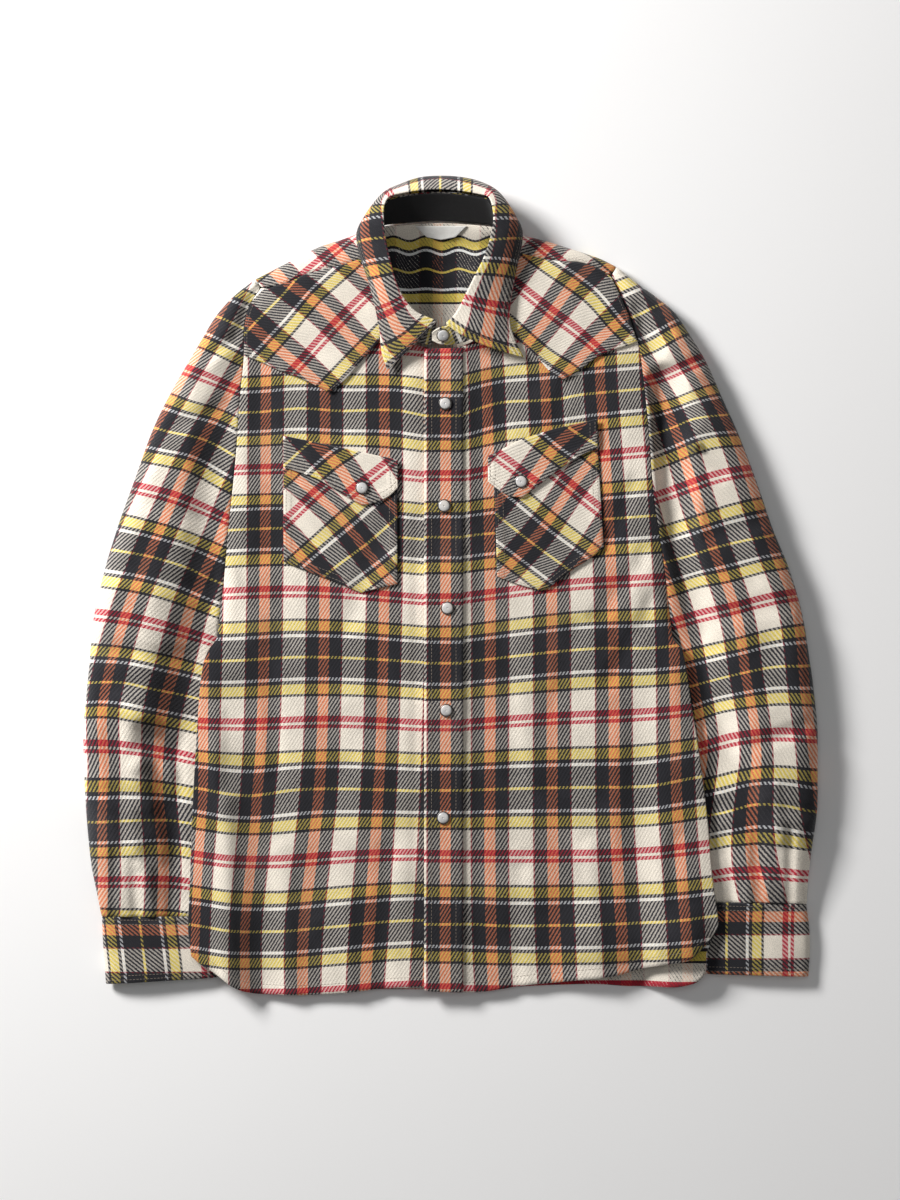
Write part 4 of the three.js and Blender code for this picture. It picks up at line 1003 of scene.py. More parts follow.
# Fronts: from the hem up to just under the yoke, and from the side to the centre
HEMS = {
    RIGHT: table(
        "x y", [-246, -351], [-238, -358], [-227, -365], [-217, -372], [-208, -379], [-195, -385], [-179, -388],
        [-143, -389], [-105, -387], [-54, -382], [9, -381]
    ),
    LEFT: table(
        "x y", [-24, -384], [-16, -385], [24, -386], [49, -383], [75, -379], [98, -377], [115, -375],
        [157, -370], [178, -364], [202, -359], [224, -355], [243, -340]
    ),
}
PANEL_TOPS = {
    RIGHT: table(
        "x y", [-196, 228], [-179, 223], [-162, 215], [-143, 208], [-126, 200], [-114, 195], [-100, 206],
        [-86, 222], [-75, 234], [-66, 245], [-60, 249], [-54, 245], [-43, 235], [-29, 227.5], [-19, 225.5],
        [9, 224]
    ),
    LEFT: table(
        "x y", [-24, 224.5], [2, 225], [17, 229.5], [31, 240], [38, 247], [44, 252], [51, 252], [66, 243],
        [76, 236], [85, 225], [95, 214], [107, 206], [114, 210], [123, 215], [133, 223], [142, 229], [153, 234],
        [166, 238], [181, 242]
    ),
}


def curve_of(rows, key="x", value="y"):
    return curve(rows[key], rows[value])


SETTLING = 14
BEYOND_SIDES = 300


def front_panel(side, height, across, down):
    """Points of a front. Its ends and sides depend on each other, so both are worked out in turns."""
    hem, top = curve_of(HEMS[side]), curve_of(PANEL_TOPS[side])
    ends = [SIDES[side]["y"].min(), float(top(side * BEYOND_SIDES))]
    edge = BAND_LEFT if side == LEFT else UNDERLAP
    u, v = np.meshgrid(across, down)
    x, y = np.zeros(u.shape), lerp(ends[0], ends[1], v)
    for _ in range(SETTLING):
        inner = lerp(sides[side]["x"](y) - side * SEAM / 2, edge, np.minimum(u, 1))
        x = np.where(u > 1, lerp(edge, BAND_RIGHT, u - 1), inner)
        y = lerp(hem(x), top(x), v)
    return point(x, y, height(x, y))


BAND_COLUMNS = 15
PANEL_ACROSS = np.linspace(0, 1, 84) ** 1.25
PANEL_DOWN = np.linspace(0, 1, 206)
BAND_ACROSS = 1 + np.linspace(0, 1, BAND_COLUMNS)[1:]
HEM_ROWS = (9.0,)
BAND_ROWS = (6.5,)
panels = {
    RIGHT: front_panel(RIGHT, front_height, PANEL_ACROSS, PANEL_DOWN),
    LEFT: front_panel(LEFT, left_front_height, np.concatenate([PANEL_ACROSS, BAND_ACROSS]), PANEL_DOWN),
}


def relief(grid, turn, edges, **how):
    return moved_out(grid, turn, sewn_relief(grid, edges, **how))


def marked_piece(name, grid, turn, finish=flannel):
    """A piece whose stripes follow its own marks."""
    cloth_piece(name, grid, turn, weave(*MARKS[name])(grid), [finish, flannel_back])


for side, panel in panels.items():
    grid = relief(panel, side, ["first"], rows=HEM_ROWS, allowance=10.0, lift=0.35)
    marked_piece(f"front_{SIDE_NAMES[side]}", grid, side)
    sew(grid, side, ["first"], HEM_ROWS)
band_grid = moved_out(panels[LEFT][:, -BAND_COLUMNS:], LEFT, ON_TOP)
band_grid = relief(band_grid, LEFT, ["start", "end"], rows=BAND_ROWS, allowance=7.5, lift=0.3)
marked_piece("front_band", band_grid, LEFT)
sew(band_grid, LEFT, ["start", "end"], BAND_ROWS)

# Back: lies on the surface from the hem up to the yoke seam
BACK_HEM = curve_of(table(
    "x y", [-246, -352], [-208, -376], [-179, -383], [-10, -384], [137, -379], [173, -381], [210, -381],
    [232, -377], [243, -366], [250, -345]
))
YOKE_SEAM = 160


def back_panel(across, down):
    u, v = np.meshgrid(across, down)
    x, y = np.zeros(u.shape), lerp(-350, YOKE_SEAM, v)
    for _ in range(SETTLING):
        x = lerp(sides[RIGHT]["x"](y) + SEAM, sides[LEFT]["x"](y) - SEAM, u)
        y = lerp(BACK_HEM(x), YOKE_SEAM - SEAM / 2, v)
    return point(x, y, back_height(x, y))


def straight(grid, x0, y0):
    """Weave coordinates of cloth lying flat, with the warp along y."""
    return np.stack([grid[..., 0] - x0, y0 - grid[..., 1]], axis=-1)


back_grid = back_panel(np.linspace(0, 1, 130), np.linspace(0, 1, 150))
cloth_piece("back", back_grid, LEFT, straight(back_grid, -5, 151), [flannel, flannel_back])

# Back yoke: from its seam on the back up over the shoulder fold to the shoulder and neck seams
YOKE_COLUMNS = "rise mx my mz sx sy sz fold"
YOKE_STATIONS = table(
    YOKE_COLUMNS,
    [284.5, -185.2, 292, 6.5, -179.6, 284, 13, 1],
    [288, -163, 303.5, 6.8, -161.5, 286.2, 14.5, 1],
    [299, -143, 314, 7, -141, 294.7, 16, 1],
    [308, -124, 323, 7, -124, 299.8, 17, 1],
    [314, -105, 329, 7.5, -105, 304, 18, 1],
    [319, -89, 335, 8, -91, 308.5, 18.4, 1],
    [321, -79, 339, 8.5, -82.5, 313, 18.4, 1],
    [322, -72, 342, 8.5, -80, 328, 15.5, 1],
    [323, -65, 343, 7, -73.5, 337.6, 11.5, 0.6],
    [322, -57, 343, 6, -62.5, 341.6, 8.8, 0.2],
    [320, -45, 343, 5, -46, 343, 7.4, 0],
    [320, -28, 344.5, 5, -28, 344.5, 6.8, 0],
    [320, -10, 345.4, 5, -10, 345.4, 6.6, 0],
    [320, 8, 344.5, 5, 8, 344.5, 6.8, 0],
    [320, 26, 343, 5, 26, 343, 7.4, 0],
    [321, 38, 341.6, 6, 40.8, 340.8, 8.8, 0.2],
    [321, 46, 341, 7, 53.4, 334.8, 11.5, 0.6],
    [320, 53, 340, 8.5, 60, 325.6, 15.5, 1],
    [318, 61, 336, 8.5, 62, 317.5, 18.4, 1],
    [315, 72, 332.5, 8, 72, 314.6, 18.4, 1],
    [309, 88, 329, 7.5, 88, 311, 18, 1],
    [303, 106, 323.5, 7, 106, 308.6, 17, 1],
    [298, 123, 318, 7, 123, 307.6, 16, 1],
    [292, 142, 311.5, 6.8, 139, 302.6, 14.5, 1],
    [296.5, 157.2, 304, 6.5, 151.6, 295.8, 13, 1],
)


def finer(rows, columns, times):
    """The table's rows with more rows in between, as a dictionary of columns shaped for a grid."""
    names = columns.split()
    more = refined(np.stack([rows[name] for name in names], axis=1), times)
    return {name: more[:, i : i + 1] for i, name in enumerate(names)}


yoke = finer(YOKE_STATIONS, YOKE_COLUMNS, 6)
yoke["fold"] = np.clip(yoke["fold"], 0, 1)
yoke_share = (yoke["mx"] - yoke["mx"][0]) / (yoke["mx"][-1] - yoke["mx"][0])


def across_back(y):
    return lerp(sides[RIGHT]["x"](y) + SEAM, sides[LEFT]["x"](y) - SEAM, yoke_share)


floor_y = lerp(YOKE_SEAM + SEAM / 2, yoke["rise"], np.linspace(0, 1, 36)[None, :])
yoke_floor = point(across_back(floor_y), floor_y, 0)
t = np.linspace(0, 1, 29)[None, 1:]
rise_x = yoke_floor[:, -1:, 0]
under = np.minimum(1, t * 2) * math.pi / 2
over = np.maximum(0, t * 2 - 1) * math.pi / 2
arc = point(
    lerp(lerp(rise_x, yoke["mx"], np.sin(under)), yoke["sx"], 1 - np.cos(over)),
    lerp(lerp(yoke["rise"], yoke["my"], np.sin(under)), yoke["sy"], 1 - np.cos(over)),
    lerp(yoke["mz"] * (1 - np.cos(under)), yoke["sz"], np.sin(over)),
)
ramp = point(lerp(rise_x, yoke["sx"], t), lerp(yoke["rise"], yoke["sy"], t), yoke["sz"] * smooth(t))
yoke_fold = lerp(ramp, arc, yoke["fold"][..., None])
yoke_grid = np.concatenate([yoke_floor, yoke_fold], axis=1)
from_seam = from_edges(yoke_grid)["end"]
NECK_MIDDLE = -10
BIAS = math.radians(40)
# Where a rust stripe's middle crosses a red stripe's: out from the middle of the neck, and up the cloth
BIAS_MARK = dict(spread=101, y=322, weft=0.4703)
# Inside the neck: the level stripes' place and scale, how they wave, and the level below which they stop
INSIDE_MARK = dict(x=16.6, y=300.7, scale=0.9, wave=2.2, pitch=5.0, wave_from=270, wave_reach=40, low=255)
spread = np.abs(yoke_grid[..., 0] - NECK_MIDDLE) - BIAS_MARK["spread"]
drop = yoke_grid[:, -1:, 1] + from_seam - BIAS_MARK["y"]
yoke_uv = np.stack([
    spread * math.cos(BIAS) - drop * math.sin(BIAS),
    -spread * math.sin(BIAS) - drop * math.cos(BIAS) + BIAS_MARK["weft"] * WEFT_REPEAT,
], axis=-1)
waving = smooth((yoke_grid[..., 1] - INSIDE_MARK["wave_from"]) / INSIDE_MARK["wave_reach"])
wave = INSIDE_MARK["wave"] * np.sin(yoke_grid[..., 0] / INSIDE_MARK["pitch"]) * waving
inside_y = np.maximum(yoke_grid[..., 1], INSIDE_MARK["low"])
yoke_inside_uv = np.stack([
    yoke_grid[..., 0] - INSIDE_MARK["x"] + WARP_REPEAT / 2,
    WEFT_REPEAT + (INSIDE_MARK["y"] - inside_y + wave) / INSIDE_MARK["scale"],
], axis=-1)
cloth_piece("back_yoke", yoke_grid, RIGHT, yoke_uv, [flannel, flannel_back], inside=yoke_inside_uv)
sew(yoke_grid, RIGHT, ["end"], (2.0,))

# Neck label: a bare woven piece inside the back of the neck
LABEL = dict(top=49, bottom=27, depth=10, point=2.4, x=-9, y=342, lift=0.75, wall=0.8)
NECK_RISE = dict(height=7, start=320, end=345.4)


def yoke_inside(y):
    share = (y - NECK_RISE["start"]) / (NECK_RISE["end"] - NECK_RISE["start"])
    return NECK_RISE["height"] * smooth(share) + CLOTH


v, u = np.meshgrid(np.linspace(0, 1, 21), np.linspace(0, 1, 41), indexing="ij")
half = lerp(LABEL["top"], LABEL["bottom"], v) / 2
label_x = LABEL["x"] + lerp(-half, half, u)
label_y = LABEL["y"] - (LABEL["depth"] + LABEL["point"] * (1 - np.abs(2 * u - 1))) * v
label_z = yoke_inside(label_y) + LABEL["lift"] + LABEL["wall"]
label_z += 0.35 * np.sin(label_x / 8 + 1) * smooth(v) + 0.3 * smooth((v - 0.6) / 0.4)
label_grid = point(label_x, label_y, label_z)
label_uv = straight(label_grid, 0, LABEL["y"])
cloth_piece("label", label_grid, LEFT, label_uv, [label_cloth], wall=LABEL["wall"])

# Front yokes: between the pointed lower edge, the shoulder seam, the armhole and the neck
YOKE_EDGES = {
    RIGHT: table(
        "x y", [-195, 219], [-179, 213], [-162, 205], [-143, 198], [-126, 190], [-114, 184], [-100, 196],
        [-86, 212], [-75, 224], [-66, 236], [-58, 249]
    ),
    LEFT: table(
        "x y", [177, 232], [166, 228], [153, 224], [142, 219], [133, 213], [123, 205], [107, 196], [95, 204],
        [80, 221], [60, 238], [45, 253]
    ),
}
YOKE_POINT = {RIGHT: 5, LEFT: 6}
SHOULDER_SEAMS = {
    RIGHT: table(
        "x y", [-180.4, 282.6], [-173, 282.6], [-162, 285.6], [-150, 289.4], [-141, 293.9], [-132, 296.7],
        [-124, 299], [-115, 301.3], [-105, 303.2], [-93, 307], [-82.5, 311.6]
    ),
    LEFT: table(
        "x y", [152.4, 293.6], [146, 297.5], [139, 301.6], [131, 304.6], [123, 306.6], [114, 307.2],
        [104, 307.8], [94, 309], [84, 311], [73, 313.6], [62, 316.4]
    ),
}
YOKE_NECKS = {
    RIGHT: table("y x", [249, -58.5], [252, -59.5], [272, -68.5], [295, -77.5], [312, -82.5]),
    LEFT: table("y x", [253, 44], [270, 50.5], [293, 57.5], [311, 62], [317, 62]),
}


def pointed(rows, columns, corner, count):
    """A table's columns at more places along it, smooth but for one corner."""
    stacked = np.stack([rows[name] for name in columns.split()], axis=1)
    keys = np.arange(len(stacked), dtype=float)
    before = max(2, round(count * corner / keys[-1]))
    first = through(stacked[: corner + 1], keys[: corner + 1], np.linspace(0, corner, before + 1))
    second = through(stacked[corner:], keys[corner:], np.linspace(corner, keys[-1], count - before + 1)[1:])
    return np.vstack([first, second]).T


def front_yoke(side):
    edge_x, edge_y = pointed(YOKE_EDGES[side], "x y", YOKE_POINT[side], 52)
    seam_x, seam_y = pointed(SHOULDER_SEAMS[side], "x y", YOKE_POINT[side], 52)
    v = np.linspace(0, 1, 44)[:, None]
    u = np.linspace(0, 1, len(edge_x))[None, :]
    arm_y = lerp(edge_y[0], seam_y[0], v)
    neck_y = lerp(edge_y[-1], seam_y[-1], v)
    arm_shift = sides[side]["x"](arm_y) - side * SEAM * 1.5 - lerp(edge_x[0], seam_x[0], v)
    neck_shift = curve_of(YOKE_NECKS[side], "y", "x")(neck_y) - lerp(edge_x[-1], seam_x[-1], v)
    x = lerp(edge_x, seam_x, v) + lerp(arm_shift, neck_shift, u)
    y = lerp(edge_y, seam_y, v)
    grid = point(x, y, front_height(x, y) + ON_TOP + 0.3)
    return relief(grid, side, ["first"], rows=TWO_ROWS, lift=0.35)


for side, side_name in SIDE_NAMES.items():
    grid = front_yoke(side)
    marked_piece(f"front_yoke_{side_name}", grid, side)
    sew(grid, side, ["first"], TWO_ROWS)
    sew(grid, side, ["start"], (2.5,))

# Sleeves: a sheet round each tube, from the armhole to the cuff, with its seam along the underarm
SLEEVE_COLUMNS = "ay ax top bottom ox oy oz shelf low peak"
SLEEVES = {
    RIGHT: table(
        SLEEVE_COLUMNS,
        [284, -181, 12, 0, -187, 291, 6.5, 12, 0, 13],
        [270, -189, 14, 0, -200, 281, 6.8, 14, 0, 16],
        [256, -194, 15, 0, -211, 271, 7, 15, 0, 18.5],
        [240, -196, 15.5, 0, -225, 254, 7.4, 15.5, 0, 21],
        [224, -196, 16, 0, -235, 237, 7.8, 16, 0, 22.5],
        [203, -198, 16, 0, -248, 215, 8, 16, 0, 24],
        [177, -200, 16, 0, -263, 189, 8.5, 16, 0, 25],
        [139, -202, 16, 0, -282, 151, 9, 16, 0, 26],
        [91, -207, 15.6, 0, -301, 99, 9.5, 15.6, 0, 27],
        [53, -211, 14.5, 0.5, -316, 57, 10, 14.5, 0, 27],
        [10, -215, 11.5, 2.5, -330, 10, 10, 11.5, 4, 27],
        [-30, -220.6, 8.6, 5.4, -340, -36, 10, 8, 8, 27],
        [-49, -221, 4.7, 1.5, -342, -58, 10, 6.6, 10, 27],
        [-61, -220, 3.6, 0.4, -343, -72, 10, 6.8, 16, 27],
        [-82, -219, 3.3, 0, -345, -92, 10, 7, 22, 26.5],
        [-146, -217, 3.3, 0, -349, -146, 10, 7.2, 31, 26],
        [-203, -213, 3.3, 0, -347, -203, 9.5, 7.2, 37, 25],
        [-260, -209, 3.3, 0, -342, -262, 8.5, 7.2, 42, 21],
        [-292, -208, 3.3, 0, -336, -294, 7.5, 7.4, 42, 17],
        [-314, -210, 3.3, 0, -332, -314, 6.8, 8, 40, 14],
    ),
    LEFT: table(
        SLEEVE_COLUMNS,
        [296, 153, 12, 0, 159, 303, 6.5, 12, 0, 13],
        [281, 159, 14, 0, 180, 286, 6.8, 14, 0, 16.5],
        [269, 164, 15, 0, 194, 276, 7, 15, 0, 19],
        [255, 170, 15.5, 0, 213, 260, 7.4, 15.5, 0, 21],
        [241, 174, 16, 0, 228, 238, 7.8, 16, 0, 22.5],
        [215, 180, 16, 0, 242, 215, 8, 16, 0, 24],
        [177, 186, 16, 0, 260, 175, 8.5, 16, 0, 25],
        [148, 188, 16, 0, 273, 146, 9, 16, 0, 26],
        [91, 192, 15.8, 0, 291, 99, 9.5, 15.8, 0, 27],
        [48, 198, 14.6, 0.5, 306, 55, 10, 14.6, 0, 27],
        [10, 204, 11.5, 2.5, 323, 13, 10, 11.5, 4, 27],
        [-30, 209, 8.6, 5.4, 335, -30, 10, 8, 8, 27],
        [-49, 209.5, 4.9, 1.7, 339, -54, 10, 6.6, 10, 27],
        [-61, 209, 3.6, 0.4, 341, -68, 10, 6.8, 16, 27],
        [-82, 208, 3.3, 0, 344, -89, 10, 7, 22, 26.5],
        [-146, 206, 3.3, 0, 349, -146, 10, 7.2, 32, 26],
        [-203, 207, 3.3, 0, 349, -203, 9.5, 7.2, 38, 25],
        [-250, 211, 3.3, 0, 343, -254, 8.5, 7.2, 40, 21],
        [-280, 214, 3.3, 0, 340, -282, 7.5, 7.4, 40, 17],
        [-300, 218, 3.3, 0, 339, -302, 6.8, 8, 38, 14],
    ),
}
PLACKET_LIFT = 1.9
SLEEVE_TOP = 56
SLEEVE_UNDER = 36
EDGE_CROWDING = 1.7
TOP_ROLL = dict(reach=22, share=0.45)
UNDER_ROLL = dict(reach=16, share=0.35)
# Folds start a little way in from the body, and leave this much of the sleeve's height
FOLD_START = dict(inset=1, reach=9)
LEAST_HEIGHT = 4.5
SLEEVE_SWELL = [(0.5, 19, 3), (0.25, 8, 4)]
SHELF_REACH = 14
PEAK_SHARE = 0.55
PLACKET_REACH = dict(length=130, reach=40)
UNDER_REACH = 26
SLEEVE_ROWS = 200


def sleeve(side):
    sewn = SLEEVES[side]
    ay = np.linspace(sewn["ay"][0], sewn["ay"][-1], SLEEVE_ROWS)[:, None]
    row = {name: curve(sewn["ay"], sewn[name])(ay) for name in SLEEVE_COLUMNS.split()}
    cuff_y = sewn["ay"][-1]
    edge = np.where(ay >= UNDERARM, sides[side]["x"](ay) + side * SEAM, row["ax"])
    width = np.hypot(row["ox"] - edge, row["oy"] - ay)
    t = 1 - (1 - np.linspace(0, 1, SLEEVE_TOP)[None, :]) ** EDGE_CROWDING
    x, y = lerp(edge, row["ox"], t), lerp(ay, row["oy"], t)
    d = t * width
    on_shelf = lerp(row["top"], row["shelf"], smooth(d / SHELF_REACH))
    raised = lerp(on_shelf, row["peak"], smooth((d - row["low"]) / (PEAK_SHARE * (width - row["low"]))))
    clear = smooth((d - row["low"] - FOLD_START["inset"]) / FOLD_START["reach"])
    room = np.maximum(raised - LEAST_HEIGHT, 1)
    folds = fold_depth(SLEEVE_FOLDS, x, y) + fold_depth(SLEEVE_CREASES, x, y)
    folds = room * (1 - np.exp(-folds / room))
    roll = np.minimum(TOP_ROLL["reach"], width * TOP_ROLL["share"])
    uneven = (swell(x, y, SLEEVE_SWELL) - folds) * clear
    top = point(x, y, lerp(row["oz"], raised + uneven, quarter((width - d) / roll)))
    share = (1 - np.linspace(0, 1, SLEEVE_UNDER)[None, :] ** EDGE_CROWDING)[:, 1:]
    t = np.maximum(share, SEAM / width)
    x, y = lerp(edge, row["ox"], t), lerp(ay, row["oy"], t)
    lift = PLACKET_LIFT * (1 - smooth((y - cuff_y - PLACKET_REACH["length"]) / PLACKET_REACH["reach"]))
    flat = lerp(np.maximum(row["bottom"], lift), lift, smooth(t * width / UNDER_REACH))
    roll = np.minimum(UNDER_ROLL["reach"], width * UNDER_ROLL["share"])
    below = point(x, y, lerp(row["oz"], flat, quarter((1 - t) * width / roll)))
    return np.concatenate([top, below], axis=1)


def round_tube(uv):
    """The same stripes round the tube: the warp goes on past the outer fold."""
    fold = uv[:, SLEEVE_TOP - 1 : SLEEVE_TOP, 0]
    uv[:, SLEEVE_TOP:, 0] = 2 * fold - uv[:, SLEEVE_TOP:, 0]
    return uv


for side, side_name in SIDE_NAMES.items():
    name = f"sleeve_{side_name}"
    grid = relief(sleeve(side), side, ["last"], rows=(), allowance=5.0, lift=-0.6)
    uv = round_tube(weave(*MARKS[name])(grid))
    cloth_piece(name, grid, side, uv, [flannel_sleeve, flannel_back])

# Cuffs: a band of two plies round a flat oval, its ends lapped on the underside
CUFF_COLUMNS = "ix iy ox oy height"
CUFFS = {
    RIGHT: table(
        CUFF_COLUMNS,
        [-210.5, -315, -331.5, -315, 13],
        [-212, -334, -331, -336, 12.6],
        [-214, -354, -329.5, -357, 12],
        [-221, -372, -328, -378, 11],
    ),
    LEFT: table(
        CUFF_COLUMNS,
        [218.5, -301, 338.5, -303, 13],
        [221, -322, 341.5, -326, 12.6],
        [225, -346, 342, -350, 12],
        [229, -368, 340.5, -371, 11],
    ),
}
CUFF_PATH = table(
    "share level lift", [0.6, 0, 5.4], [0.4, 0, 5.4], [0.33, 0, 3], [0.26, 0, 0.6], [0.2, 0, 0], [0.12, 0, 0],
    [0.05, 0.1, 0], [0.015, 0.25, 0], [0, 0.4, 0], [0.015, 0.55, 0], [0.06, 0.7, 0], [0.16, 0.82, 0],
    [0.33, 0.9, 0], [0.5, 1, 0], [0.67, 1.03, 0], [0.84, 1, 0], [0.94, 0.9, 0], [0.985, 0.7, 0], [1, 0.5, 0],
    [0.985, 0.3, 0], [0.95, 0.1, 0], [0.88, 0, 0], [0.8, 0, 0], [0.7, 0, 0.7], [0.62, 0, 2.6],
    [0.56, 0, 2.9], [0.4, 0, 2.9]
)


def cuff(side):
    path = finer(CUFF_PATH, "share level lift", 6)
    path = {name: values.T for name, values in path.items()}
    rows = finer(CUFFS[side], CUFF_COLUMNS, 10)
    x = lerp(rows["ix"], rows["ox"], path["share"])
    y = lerp(rows["iy"], rows["oy"], path["share"])
    z = np.maximum(path["level"], 0) * (rows["height"] - 0.6) + np.maximum(path["lift"], 0)
    z = z + 0.3 * drift(x, y, 9, 5) * path["level"]
    grid = point(x, y, z)
    return relief(grid, side, ["first", "last"], rows=EDGE_ROWS, allowance=8.0, lift=0.25)


def round_cuff(side, grid, uv):
    """The weft goes on round the band from the crown of its upper side."""
    s = from_edges(grid)["start"]
    peak = int(np.argmax(grid[0, :, 2]))
    along_band = side * (s - s[:, peak : peak + 1])
    return np.stack([uv[..., 0], uv[:, peak : peak + 1, 1] + along_band], axis=-1)


for side, side_name in SIDE_NAMES.items():
    name = f"cuff_{side_name}"
    grid = cuff(side)
    uv = round_cuff(side, grid, weave(*MARKS[name])(grid))
    cloth_piece(name, grid, side, uv, [flannel_cuff, flannel_back], wall=CUFF_CLOTH)
    sew(grid, side, ["first", "last"], EDGE_ROWS)

# Sleeve plackets: a strip below each cuff slit, on the underside
PLACKET = dict(width=24, length=118, share=0.48, lean=8)
for side, side_name in SIDE_NAMES.items():
    ax, ox, ay = (SLEEVES[side][column][-1] for column in ("ax", "ox", "ay"))
    middle = lerp(ax, ox, PLACKET["share"])
    v, u = np.meshgrid(np.linspace(0, 1, 44), np.linspace(0, 1, 12), indexing="ij")
    x = middle + (u - 0.5) * PLACKET["width"] + side * v * PLACKET["lean"]
    grid = point(x, ay + 1 + v * PLACKET["length"], 0)
    uv = straight(grid, middle, 0)
    cloth_piece(f"sleeve_placket_{side_name}", grid, LEFT, uv, [flannel, flannel_back])
    sew(grid, LEFT, ["start", "end", "last"], (2.5,))

# Collar: neck seam, top of the stand, roll of the leaf and leaf edge, from the right end round to the left
COLLAR_COLUMNS = "nx ny nz fx fy fz mx my mz ex ey ez"
COLLAR = table(
    COLLAR_COLUMNS,
    [-19, 228, 18.2, -13, 251, 25, -30, 233, 25, -60, 205, 19],
    [-28, 230, 18, -22, 254, 26, -42, 234, 25.5, -65, 222, 20],
    [-42, 238, 18, -34, 260, 27.5, -52, 247, 26.5, -67, 241, 21],
    [-56, 252, 18.3, -45, 273, 30, -60, 265, 28, -71, 262, 21.2],
    [-66, 272, 18.6, -52, 288, 32.5, -67, 284, 29.5, -76, 283, 21.4],
    [-75, 295, 18.8, -57, 307, 35, -74, 305, 31, -83, 304, 21.4],
    [-79, 314, 18.5, -61, 325, 37, -79, 324, 32, -88, 322, 20],
    [-78, 328, 16, -63, 342, 38, -82, 340, 31, -88, 338, 16],
    [-72, 339, 12, -63, 357, 37, -77, 356, 27, -76, 352, 9],
    [-62, 343.5, 9.5, -58, 367, 34, -64, 372, 23, -61, 364, 4],
    [-46, 345, 8.5, -46, 371, 32, -48, 381, 17.5, -46, 370, 2.4],
    [-28, 346.5, 8, -28, 374, 31, -29, 387.5, 16, -28, 374, 1.8],
    [-10, 347.5, 8, -10, 375, 30.5, -10, 389, 15.5, -10, 376, 1.8],
    [8, 346.5, 8, 9, 373.5, 31, 9, 388, 16, 9, 375, 1.8],
    [26, 345, 8.5, 26, 370.5, 32, 28, 383.5, 17.5, 26, 371, 2.4],
    [40, 343, 9.5, 36, 367, 34.5, 45, 373.5, 23, 40, 363, 4],
    [52, 336.5, 12, 40, 356, 37, 57, 357, 28, 55, 351, 9],
    [58.5, 326, 16, 40.5, 341, 38, 61, 342, 31.5, 66, 342, 16],
    [59, 311, 18.5, 37, 325, 37, 57, 327, 32, 68, 328, 20],
    [54.5, 293, 18.8, 31, 308, 35, 52, 307, 31, 63.5, 305, 21.4],
    [47.5, 270, 18.8, 22, 290, 33, 44, 289, 29.5, 60, 287, 21.4],
    [41, 254, 18.8, 15, 276, 31, 39, 271, 28.5, 57, 270, 21.4],
    [30, 243, 19, 9, 264, 29.5, 35, 255, 27.5, 56, 250, 21.2],
    [16, 232, 20, 3, 255, 28.5, 30, 240, 27, 61, 232, 20],
    [2, 228.5, 21, -4, 248, 28, 24, 231, 26.5, 69, 217, 19],
)
COLLAR_TAB = table("nx ny nz fx fy fz", [-9, 228.5, 22, -11, 246, 28.4], [-17, 232, 23, -17.5, 241, 26])
FINER_COLLAR = 8


def ends_of(rows, name):
    return np.stack([rows[name + axis] for axis in "xyz"], axis=-1)


neck_seam = refined(np.vstack([ends_of(COLLAR, "n"), ends_of(COLLAR_TAB, "n")]), FINER_COLLAR)
stand_top = refined(np.vstack([ends_of(COLLAR, "f"), ends_of(COLLAR_TAB, "f")]), FINER_COLLAR)
STAND_SHARES = (0.03, 0.89)
STAND_HOLLOW = 1.2
PLY_SPACE = 0.9
LINING_CLOTH = 1.0
up = np.linspace(*STAND_SHARES, 18)[None, :, None]
stand_middle = lerp(neck_seam[:, None], stand_top[:, None], up)
stand_middle[..., 2] -= STAND_HOLLOW * np.sin(up[..., 0] * math.pi)


def by_length(grid, warp_start=0.0, weft_start=0.0):
    """Weave coordinates by distance over the cloth: the warp across the rows, the weft along them."""
    middle = grid[:, grid.shape[1] // 2]
    weft = along(middle)[:, None] + np.zeros(grid.shape[:2])
    warp = from_edges(grid)["start"]
    return np.stack([warp + warp_start, weft + weft_start], axis=-1)


stand_grid = moved_out(stand_middle, RIGHT, PLY_SPACE)
lining_grid = moved_out(stand_middle, RIGHT, -PLY_SPACE)
cloth_piece("collar_stand", stand_grid, RIGHT, by_length(stand_grid, 20, -4), [flannel, flannel_back])
lining_uv = by_length(lining_grid)[..., ::-1]
cloth_piece("stand_lining", lining_grid, RIGHT, lining_uv, [ribbed], wall=LINING_CLOTH)
sew(stand_grid, RIGHT, ["start"], (2.0,))

LEAF_LIFT = 2
LEAF_COLUMNS = 34
fold_line, leaf_middle, leaf_edge = (refined(ends_of(COLLAR, name), FINER_COLLAR) for name in "fme")
control = 2 * leaf_middle - (fold_line + leaf_edge) / 2
t = np.linspace(0, 1, LEAF_COLUMNS)[None, :, None]
leaf_grid = fold_line[:, None] * (1 - t) ** 2 + control[:, None] * 2 * t * (1 - t) + leaf_edge[:, None] * t * t
leaf_grid[..., 2] += LEAF_LIFT
LEAF_EDGES = ["end", "first", "last"]
leaf_grid = relief(leaf_grid, LEFT, LEAF_EDGES, rows=EDGE_ROWS, allowance=7.5, lift=0.35)

